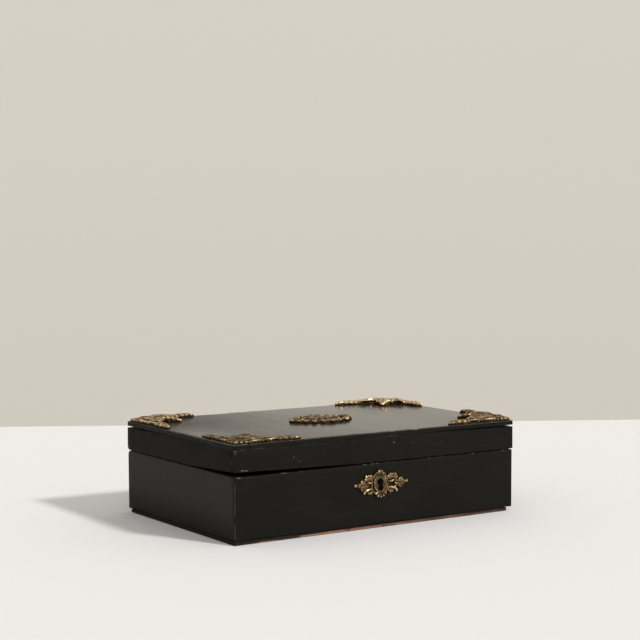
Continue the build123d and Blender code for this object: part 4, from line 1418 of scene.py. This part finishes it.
    def slab(self, outline, top):
        """A flat piece of the back plate: an ellipse as (along, off, half length, half width, turn)."""
        along, off, half_along, half_off, turn = outline
        deselect()
        bpy.ops.mesh.primitive_cylinder_add(vertices=40, radius=1.0, depth=2 * top * MM)
        slab = bpy.context.object
        bpy.ops.transform.resize(value=(half_along * MM, half_off * MM, 1))
        slab.rotation_euler.z = math.radians(turn)
        slab.location = Vector((along, off, 0)) * MM
        settle(slab)
        with editing(slab):
            pick(slab, "EDGE", lambda edge: all(vertex.co.z > 0 for vertex in edge.verts))
            bpy.ops.mesh.bevel(offset=0.35 * top * MM, segments=2, affect="EDGES")
        self.keep(slab)

    def cast(self, name, pins, piercings=(), painted_foot_shade=0.0):
        """Fuses the lumps, cuts the back flat, opens the pin seats and notes what stands out.

        the foot shade height is how high painted shade stands round its foot.
        """
        brass = bpy.context.scene.deed_box.brass
        piece = join(name, self.lumps)
        modify(piece, "REMESH", mode="VOXEL", voxel_size=brass.grain)
        modify(piece, "SMOOTH", factor=0.5, iterations=2)
        rippled(piece, "", SKIN_LUMPS, SKIN_DEPTH, name=f"{name}_skin")
        cutters = [block("bench", (-4 * REACH, -4 * REACH, -REACH), (4 * REACH, 4 * REACH, 0))]
        for along, off in pins:
            start, end = ((along * MM, off * MM, up * MM) for up in (PLATE, CLEAR_ABOVE))
            cutters.append(peg("seat", start, end, PIN_SEAT, sides=24))
        carve(piece, [*cutters, *piercings])
        top = max(piece.data.vertices, key=lambda vertex: vertex.co.z).index
        with editing(piece):
            pick(piece, "VERT", lambda vertex: vertex.index == top)
            bpy.ops.mesh.select_linked()
            bpy.ops.mesh.select_all(action="INVERT")
            bpy.ops.mesh.delete(type="VERT")
        note_relief(piece, painted_foot_shade)
        hold(piece)
        bpy.ops.object.shade_smooth()
        return piece


def note_relief(piece, painted_foot_shade):
    """Keeps how far each point stands above those around it: 0.5 is level, and 1 is a full reach above.

    Near the foot, up to the foot shade height, it counts for less: painted shade round the foot.
    """
    mesh = piece.data
    places = np.empty(len(mesh.vertices) * 3)
    mesh.vertices.foreach_get("co", places)
    height = places[2::3]
    ends = np.empty(len(mesh.edges) * 2, dtype=np.int64)
    mesh.edges.foreach_get("vertices", ends)
    here = np.concatenate((ends[0::2], ends[1::2]))
    there = np.concatenate((ends[1::2], ends[0::2]))
    count = np.bincount(here, minlength=len(height))
    level = height.copy()
    for spread in range(RELIEF_ROUNDS):
        level = np.bincount(here, weights=level[there], minlength=len(height)) / count
    relief = np.clip(0.5 + (height - level) / (2 * RELIEF_REACH), 0.0, 1.0)
    # Painted shade: the casting is darkened near its foot, where shade lies on the lid.
    if painted_foot_shade:
        relief -= np.clip(1.5 * (1 - height / painted_foot_shade), 0.0, 1.0)
    mesh.attributes.new("relief", "FLOAT", "POINT").data.foreach_set("value", relief.astype(np.float32))


def corner_arm(casting, reach, chance):
    """One arm of a corner mount: scrolls and leaves from the shell to a waist, then a long end leaf."""
    scale = reach / ARM_REACH

    def wander(value, amount=0.35):
        return value + chance.uniform(-amount, amount)

    def at(along, off):
        return along * scale, off - max(0.0, along - 20) * ARM_CLOSING

    casting.slab((*at(25, 10.0), 15 * scale, 7.6, 0), PLATE)
    casting.slab((*at(41, 8.8), 11 * scale, 5.2, 0), PLATE)
    casting.slab((*at(57, 8.3), 13 * scale, 3.4, 0), PLATE)
    casting.curl(at(27, wander(8.2)), -5, 36 * scale, (-220, 18, 320), (2.6, 3.6, 3.6), (1.1, 2.0, 1.0))
    casting.curl(at(23, 3.3), 0, 26 * scale, (150, 26, 180), (2.0, 2.4, 2.0), (0.8, 1.3, 0.8))
    casting.curl(at(43, wander(4.9)), 8, 17 * scale, (250, 20, 230), (2.2, 2.9, 2.2), (0.8, 1.3, 0.8))
    casting.curl(at(41, 13.2), -14, 15 * scale, (-230, -30, -250), (2.4, 3.4, 2.6), (0.8, 1.3, 0.8))
    casting.leaf(at(20, 12.5), 34, 19 * scale, 9.0, bend=-46, rise=(2.2, wander(4.6), 3.4), crown=1.2)
    casting.leaf(at(18, 9.5), 12, 17 * scale, 7.0, bend=24, rise=(2.4, wander(4.4), 3.0))
    casting.leaf(at(33, 11.0), 30, 14 * scale, 6.5, bend=-52, lobes=3, rise=(2.0, wander(4.2), 2.4))
    casting.leaf(at(31, 7.0), -26, 12 * scale, 5.4, bend=40, lobes=3, rise=(2.0, 3.4, 1.8), crown=0.8)
    casting.leaf(at(44, 8.4), -6, 27.5 * scale, 10.4, rise=(2.2, wander(3.0), 1.3), crown=1.5, thick=0)
    for step in range(7):
        start = ((14.5 + 4.0 * step) * scale, 4.8)
        casting.leaf(start, -66 - 4 * step, 4.4, 3.0, lobes=1, rise=(2.2, 2.4, 1.2), crown=0.6)
    for step in range(3):
        casting.bead(*at(47 + 2.6 * step, 12.6 - 0.5 * step), 1.6, 1.1 - 0.2 * step)
    casting.curl((reach - 8, 5.4), -4, 11, (-210, 0, 230), (1.8, 2.8, 2.0), (0.8, 1.3, 0.8))
    casting.bead(reach - 1.7, 3.7, 1.2, 1.6)


def corner_mount(name, arms, chance):
    """A corner mount in its own frame: a shell at the corner, a cartouche behind it, and two arms."""
    casting = Casting()
    casting.slab((17.0, 17.0, 15.0, 13.0, 45), PLATE)
    for reach, swapped in zip(arms, (False, True)):
        casting.swapped = swapped
        corner_arm(casting, reach, chance)
        casting.curl((25.5, 15.5), 24, 24, (260, 34, 230), (3.2, 4.2, 3.0), (1.0, 1.6, 0.9))
        casting.leaf((9.5, 5.5), -8, 12, 5.5, bend=22, lobes=3, rise=(2.6, 3.6, 2.0))
        casting.leaf((22.0, 19.0), 22, 13, 7.0, bend=-20, lobes=3, rise=(2.6, 4.0, 2.0))
    casting.swapped = False
    casting.fan((15, 15), 225, 128, 4.5, 18.5, 7, (3.8, 1.7), room=14.6)
    casting.bead(16.8, 16.8, 2.6, 4.6, squash=0.62)
    casting.ring((16.8, 16.8), 5.8, 5.8, 2.6, 0.9, pitch=30)
    casting.leaf((20.5, 20.5), 45, 26, 13, lobes=5, rise=(3.2, 5.0, 1.6), crown=1.3, thick=0)
    near_tip, off_edge = 0.78, 6.2
    pins = [(arms[0] * near_tip, off_edge), (off_edge, arms[1] * near_tip), (22.0, 22.0)]
    return casting.cast(name, pins, painted_foot_shade=MOUNT_FOOT_SHADE)


def seat_on_lid(piece, side_x, side_y):
    """Mirrors a corner mount to its corner of the lid and turns its faces out again."""
    hold(piece)
    piece.scale = (-side_x, -side_y, 1)
    piece.location = (side_x * (LID_HIGH.x - MOUNT_INSET), side_y * (LID_HIGH.y - MOUNT_INSET), TOP_HIGH.z)
    settle(piece)
    with editing(piece):
        bpy.ops.mesh.select_all(action="SELECT")
        bpy.ops.mesh.normals_make_consistent(inside=False)


class DEEDBOX_OT_corner_mounts(bpy.types.Operator):
    """Casts the four corner mounts of the lid"""

    bl_idname = "deed_box.corner_mounts"
    bl_label = "Corner mounts"

    def execute(self, context):
        chance = random.Random(context.scene.deed_box.seed + 3)
        for side_y, row in ((-1, "front"), (1, "back")):
            for side_x, end in ((-1, "left"), (1, "right")):
                node = f"{row}_{end}_corner_mount"
                low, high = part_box(node)
                arms = ((high.x - low.x) / MM, (high.y - low.y) / MM)
                piece = corner_mount(f"{row}_{end}_mount", arms, chance)
                hold(piece)
                bpy.ops.transform.resize(value=(1, 1, WORN_LOW.get(node, 1.0)), center_override=(0, 0, 0))
                seat_on_lid(settle(piece), side_x, side_y)
                # Each mount's brass is painted darker or lighter for how it is lit: painted shade or painted
                # highlight.
                brass = cast_brass(f"{row}_{end}_brass_cast", painted_light_shift=MOUNT_PAINTED_LIGHT[node])
                finished(piece, "lid", "mount_brass", brass, node)
        return {"FINISHED"}


class DEEDBOX_OT_medallion(bpy.types.Operator):
    """Casts the oval medallion in the middle of the lid"""

    bl_idname = "deed_box.medallion"
    bl_label = "Medallion"

    def execute(self, context):
        low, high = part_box("lid_medallion")
        half_x, half_y = (high.x - low.x) / 2 / MM, (high.y - low.y) / 2 / MM
        casting = Casting()
        casting.slab((0, 0, half_x * 0.93, half_y * 0.92, 0), PLATE)
        self.rosette(casting, half_x, half_y)
        casting.ring((0, 0), half_x * 0.56, half_y * 0.56, 1.6, 1.0)
        casting.ring((0, 0), half_x * 0.66, half_y * 0.66, 1.3, 0.7)
        self.border(casting, half_x, half_y)
        piece = casting.cast("medallion", [(-half_x * 0.88, 0), (half_x * 0.88, 0)], painted_foot_shade=MEDALLION_FOOT_SHADE)
        piece.location.z = TOP_HIGH.z
        settle(piece)
        # Painted shade: the medallion's brass is darkened a little for how it is lit.
        brass = cast_brass("medallion_brass_cast", painted_light_shift=0.04)
        finished(piece, "lid", "mount_brass", brass, "lid_medallion")
        return {"FINISHED"}

    def rosette(self, casting, half_x, half_y):
        """Leaves round a bead on a low dome."""
        deselect()
        bpy.ops.mesh.primitive_uv_sphere_add(segments=64, ring_count=24, radius=1.0)
        dome = bpy.context.object
        bpy.ops.transform.resize(value=(half_x * 0.50 * MM, half_y * 0.48 * MM, 2.5 * MM))
        casting.keep(settle(dome))
        leaves = 10
        for step in range(leaves):
            turned = math.tau * step / leaves
            base = (2.2 * math.cos(turned), 1.8 * math.sin(turned))
            heading = math.degrees(math.atan2(half_y * math.sin(turned), half_x * math.cos(turned)))
            reach = 12.5 * math.hypot(math.cos(turned), 0.58 * math.sin(turned))
            casting.leaf(base, heading, reach, 4.8, lobes=2, rise=(2.7, 3.0, 1.8), crown=0.7)
        casting.bead(0, 0, 2.8, 2.1, squash=0.6)

    def border(self, casting, half_x, half_y):
        """Leaves out to the edge, long and short in turn, and a larger one with two curls at each end."""
        leaves = 18
        for step in range(leaves):
            turned = math.tau * (step + 0.5) / leaves
            base = (half_x * 0.68 * math.cos(turned), half_y * 0.68 * math.sin(turned))
            heading = math.degrees(math.atan2(half_x * math.sin(turned), half_y * math.cos(turned)))
            reach = 8.4 if step % 2 else 7.0
            casting.leaf(base, heading, reach, 6.0, lobes=2, rise=(2.0, 2.7, 1.7), crown=0.9, thick=0)
        for heading, base, reach in (
            (0, (25, 0), 11.6), (180, (-25, 0), 11.6), (90, (0, 15.5), 8.3), (270, (0, -15.5), 8.3),
        ):
            casting.leaf(base, heading, reach, 9.4, lobes=3, rise=(2.0, 3.0, 1.7), crown=1.0, thick=0)
            across = Vector((-math.sin(math.radians(heading)), math.cos(math.radians(heading))))
            for way in (-1, 1):
                spot = tuple(Vector(base) * 1.12 + across * way * 6.4)
                turns = (way * -200, way * -40, way * -220)
                casting.curl(spot, heading, 12, turns, (1.4, 2.2, 1.4), (0.7, 1.1, 0.7))


class DEEDBOX_OT_escutcheon(bpy.types.Operator):
    """Casts the keyhole escutcheon on the front"""

    bl_idname = "deed_box.escutcheon"
    bl_label = "Keyhole escutcheon"

    def execute(self, context):
        centre, middle = middle_of("escutcheon_pins", Z), middle_of("escutcheon_pins", X)
        lock = (KEYHOLE_X - middle) / MM
        half_x = (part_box("keyhole_escutcheon")[1].x - middle) / MM
        casting = Casting()
        casting.slab((lock, 0.2, 9.6, 11.6, 0), 0.9)
        casting.slab((lock, 1.0, 6.6, 8.2, 0), 2.4)
        casting.ring((lock, 0.2), 9.2, 11.0, 1.2, 0.8)
        casting.ring((lock, 1.0), 6.8, 8.4, 2.1, 0.62)
        for side in (-1, 1):
            self.wing(casting, side, lock * 0.7, half_x)
        casting.fan((lock - 0.4, 8.4), 86, 150, 1.2, 5.0, 5, (2.4, 2.0))
        casting.leaf((lock - 1.2, 9.0), 104, 4.8, 4.0, lobes=2, rise=(2.2, 3.0, 1.8), crown=0.8)
        casting.fan((lock + 0.8, -5.8), 270, 150, 0.8, 7.2, 5, (2.4, 2.0))
        opening = self.opening(KEYHOLE_X - middle, KEYHOLE_Z - centre)
        piece = casting.cast("escutcheon", [(-half_x * 0.92, 0), (half_x * 0.92, 0)], piercings=opening)
        piece.rotation_euler.x = math.pi / 2
        piece.location = (middle, CASE_LOW.y, centre)
        settle(piece)
        # Painted shade: the escutcheon's brass is darkened for how it is lit.
        brass = cast_brass("escutcheon_brass_cast", painted_light_shift=0.08)
        finished(piece, "case", "mount_brass", brass, "keyhole_escutcheon")
        return {"FINISHED"}

    def wing(self, casting, side, lean, half_x):
        """The leaves and scrolls left (side -1) or right (1) of the keyhole."""

        def headed(angle):
            return angle if side > 0 else 180 - angle

        casting.slab((lean + side * 13.5, 1.0, 9.0, 7.4, 0), 0.9)
        casting.slab((side * 21.0, 0.2, 7.4, 4.4, 0), 0.9)
        for leans, along, off, heading, length_of, width, bend, lobes, rise, crown in ESCUTCHEON_LEAVES:
            casting.leaf(
                (leans * lean + side * along, off), headed(heading), length_of, width,
                bend=side * bend, lobes=lobes, rise=rise, crown=crown, thick=0,
            )
        for along, off, heading, reach, turns, up, thick in (
            (14.6, -4.6, -16, 15, (-170, -40, -330), (1.3, 2.2, 1.8), (0.7, 1.3, 0.8)),
            (13.6, 2.2, 14, 11, (230, 20, 250), (1.4, 2.3, 1.6), (0.6, 1.1, 0.6)),
        ):
            turns = [side * turn for turn in turns]
            casting.curl((lean + side * along, off), headed(heading), reach, turns, up, thick)
        casting.bead(lean + side * 16.6, -4.0, 1.9, 1.3)
        casting.bead(lean + side * 10.4, 8.2, 1.0, 1.2)
        casting.bead(side * (half_x - 2.0) + 0.4, 0.2, 0.4, 1.7, squash=0.7)

    def opening(self, along, off):
        """Cutters for the keyhole, through the casting as it lies on the bench."""
        half = KEYHOLE_SLOT / 2
        hole = peg("hole", (along, off, -REACH), (along, off, REACH), KEYHOLE_RADIUS, sides=40)
        slot = block("slot", (along - half, off - KEYHOLE_DROP, -REACH), (along + half, off, REACH))
        return [hole, slot]


# ---- panel and registration ----------------------------------------------------------------
class DEEDBOX_PT_pieces(bpy.types.Panel):
    """Lists the operators and settings in the sidebar"""

    bl_idname = "DEEDBOX_PT_pieces"
    bl_label = "Deed box"
    bl_space_type = "VIEW_3D"
    bl_region_type = "UI"
    bl_category = "Deed box"

    def draw(self, context):
        settings = context.scene.deed_box
        for operator in OPERATORS:
            self.layout.operator(operator.bl_idname)
        for group in (settings.board, settings.paint, settings.brass, settings.trim, settings.stage):
            box = self.layout.box()
            for field in group.bl_rna.properties.keys():
                if field not in ("rna_type", "name"):
                    box.prop(group, field)


OPERATORS = [
    DEEDBOX_OT_stage,
    DEEDBOX_OT_case_boards,
    DEEDBOX_OT_lid_boards,
    DEEDBOX_OT_bottom_board,
    DEEDBOX_OT_corner_nails,
    DEEDBOX_OT_corner_mounts,
    DEEDBOX_OT_medallion,
    DEEDBOX_OT_escutcheon,
    DEEDBOX_OT_metalwork,
]
GROUPS = [BoardSettings, PaintSettings, BrassSettings, TrimSettings, StageSettings, DeedBoxSettings]


def register():
    """Registers the settings, the operators and the panel."""
    for kind in (*GROUPS, *OPERATORS, DEEDBOX_PT_pieces):
        bpy.utils.register_class(kind)
    bpy.types.Scene.deed_box = PointerProperty(type=DeedBoxSettings)


def unregister():
    """Takes them away again."""
    del bpy.types.Scene.deed_box
    for kind in reversed((*GROUPS, *OPERATORS, DEEDBOX_PT_pieces)):
        bpy.utils.unregister_class(kind)


def main():
    """Registers the add-on and builds everything in order."""
    register()
    for operator in OPERATORS:
        group, name = operator.bl_idname.split(".")
        if getattr(getattr(bpy.ops, group), name)() != {"FINISHED"}:
            raise RuntimeError(f"{operator.bl_label} didn't finish")


if __name__ == "__main__":
    main()
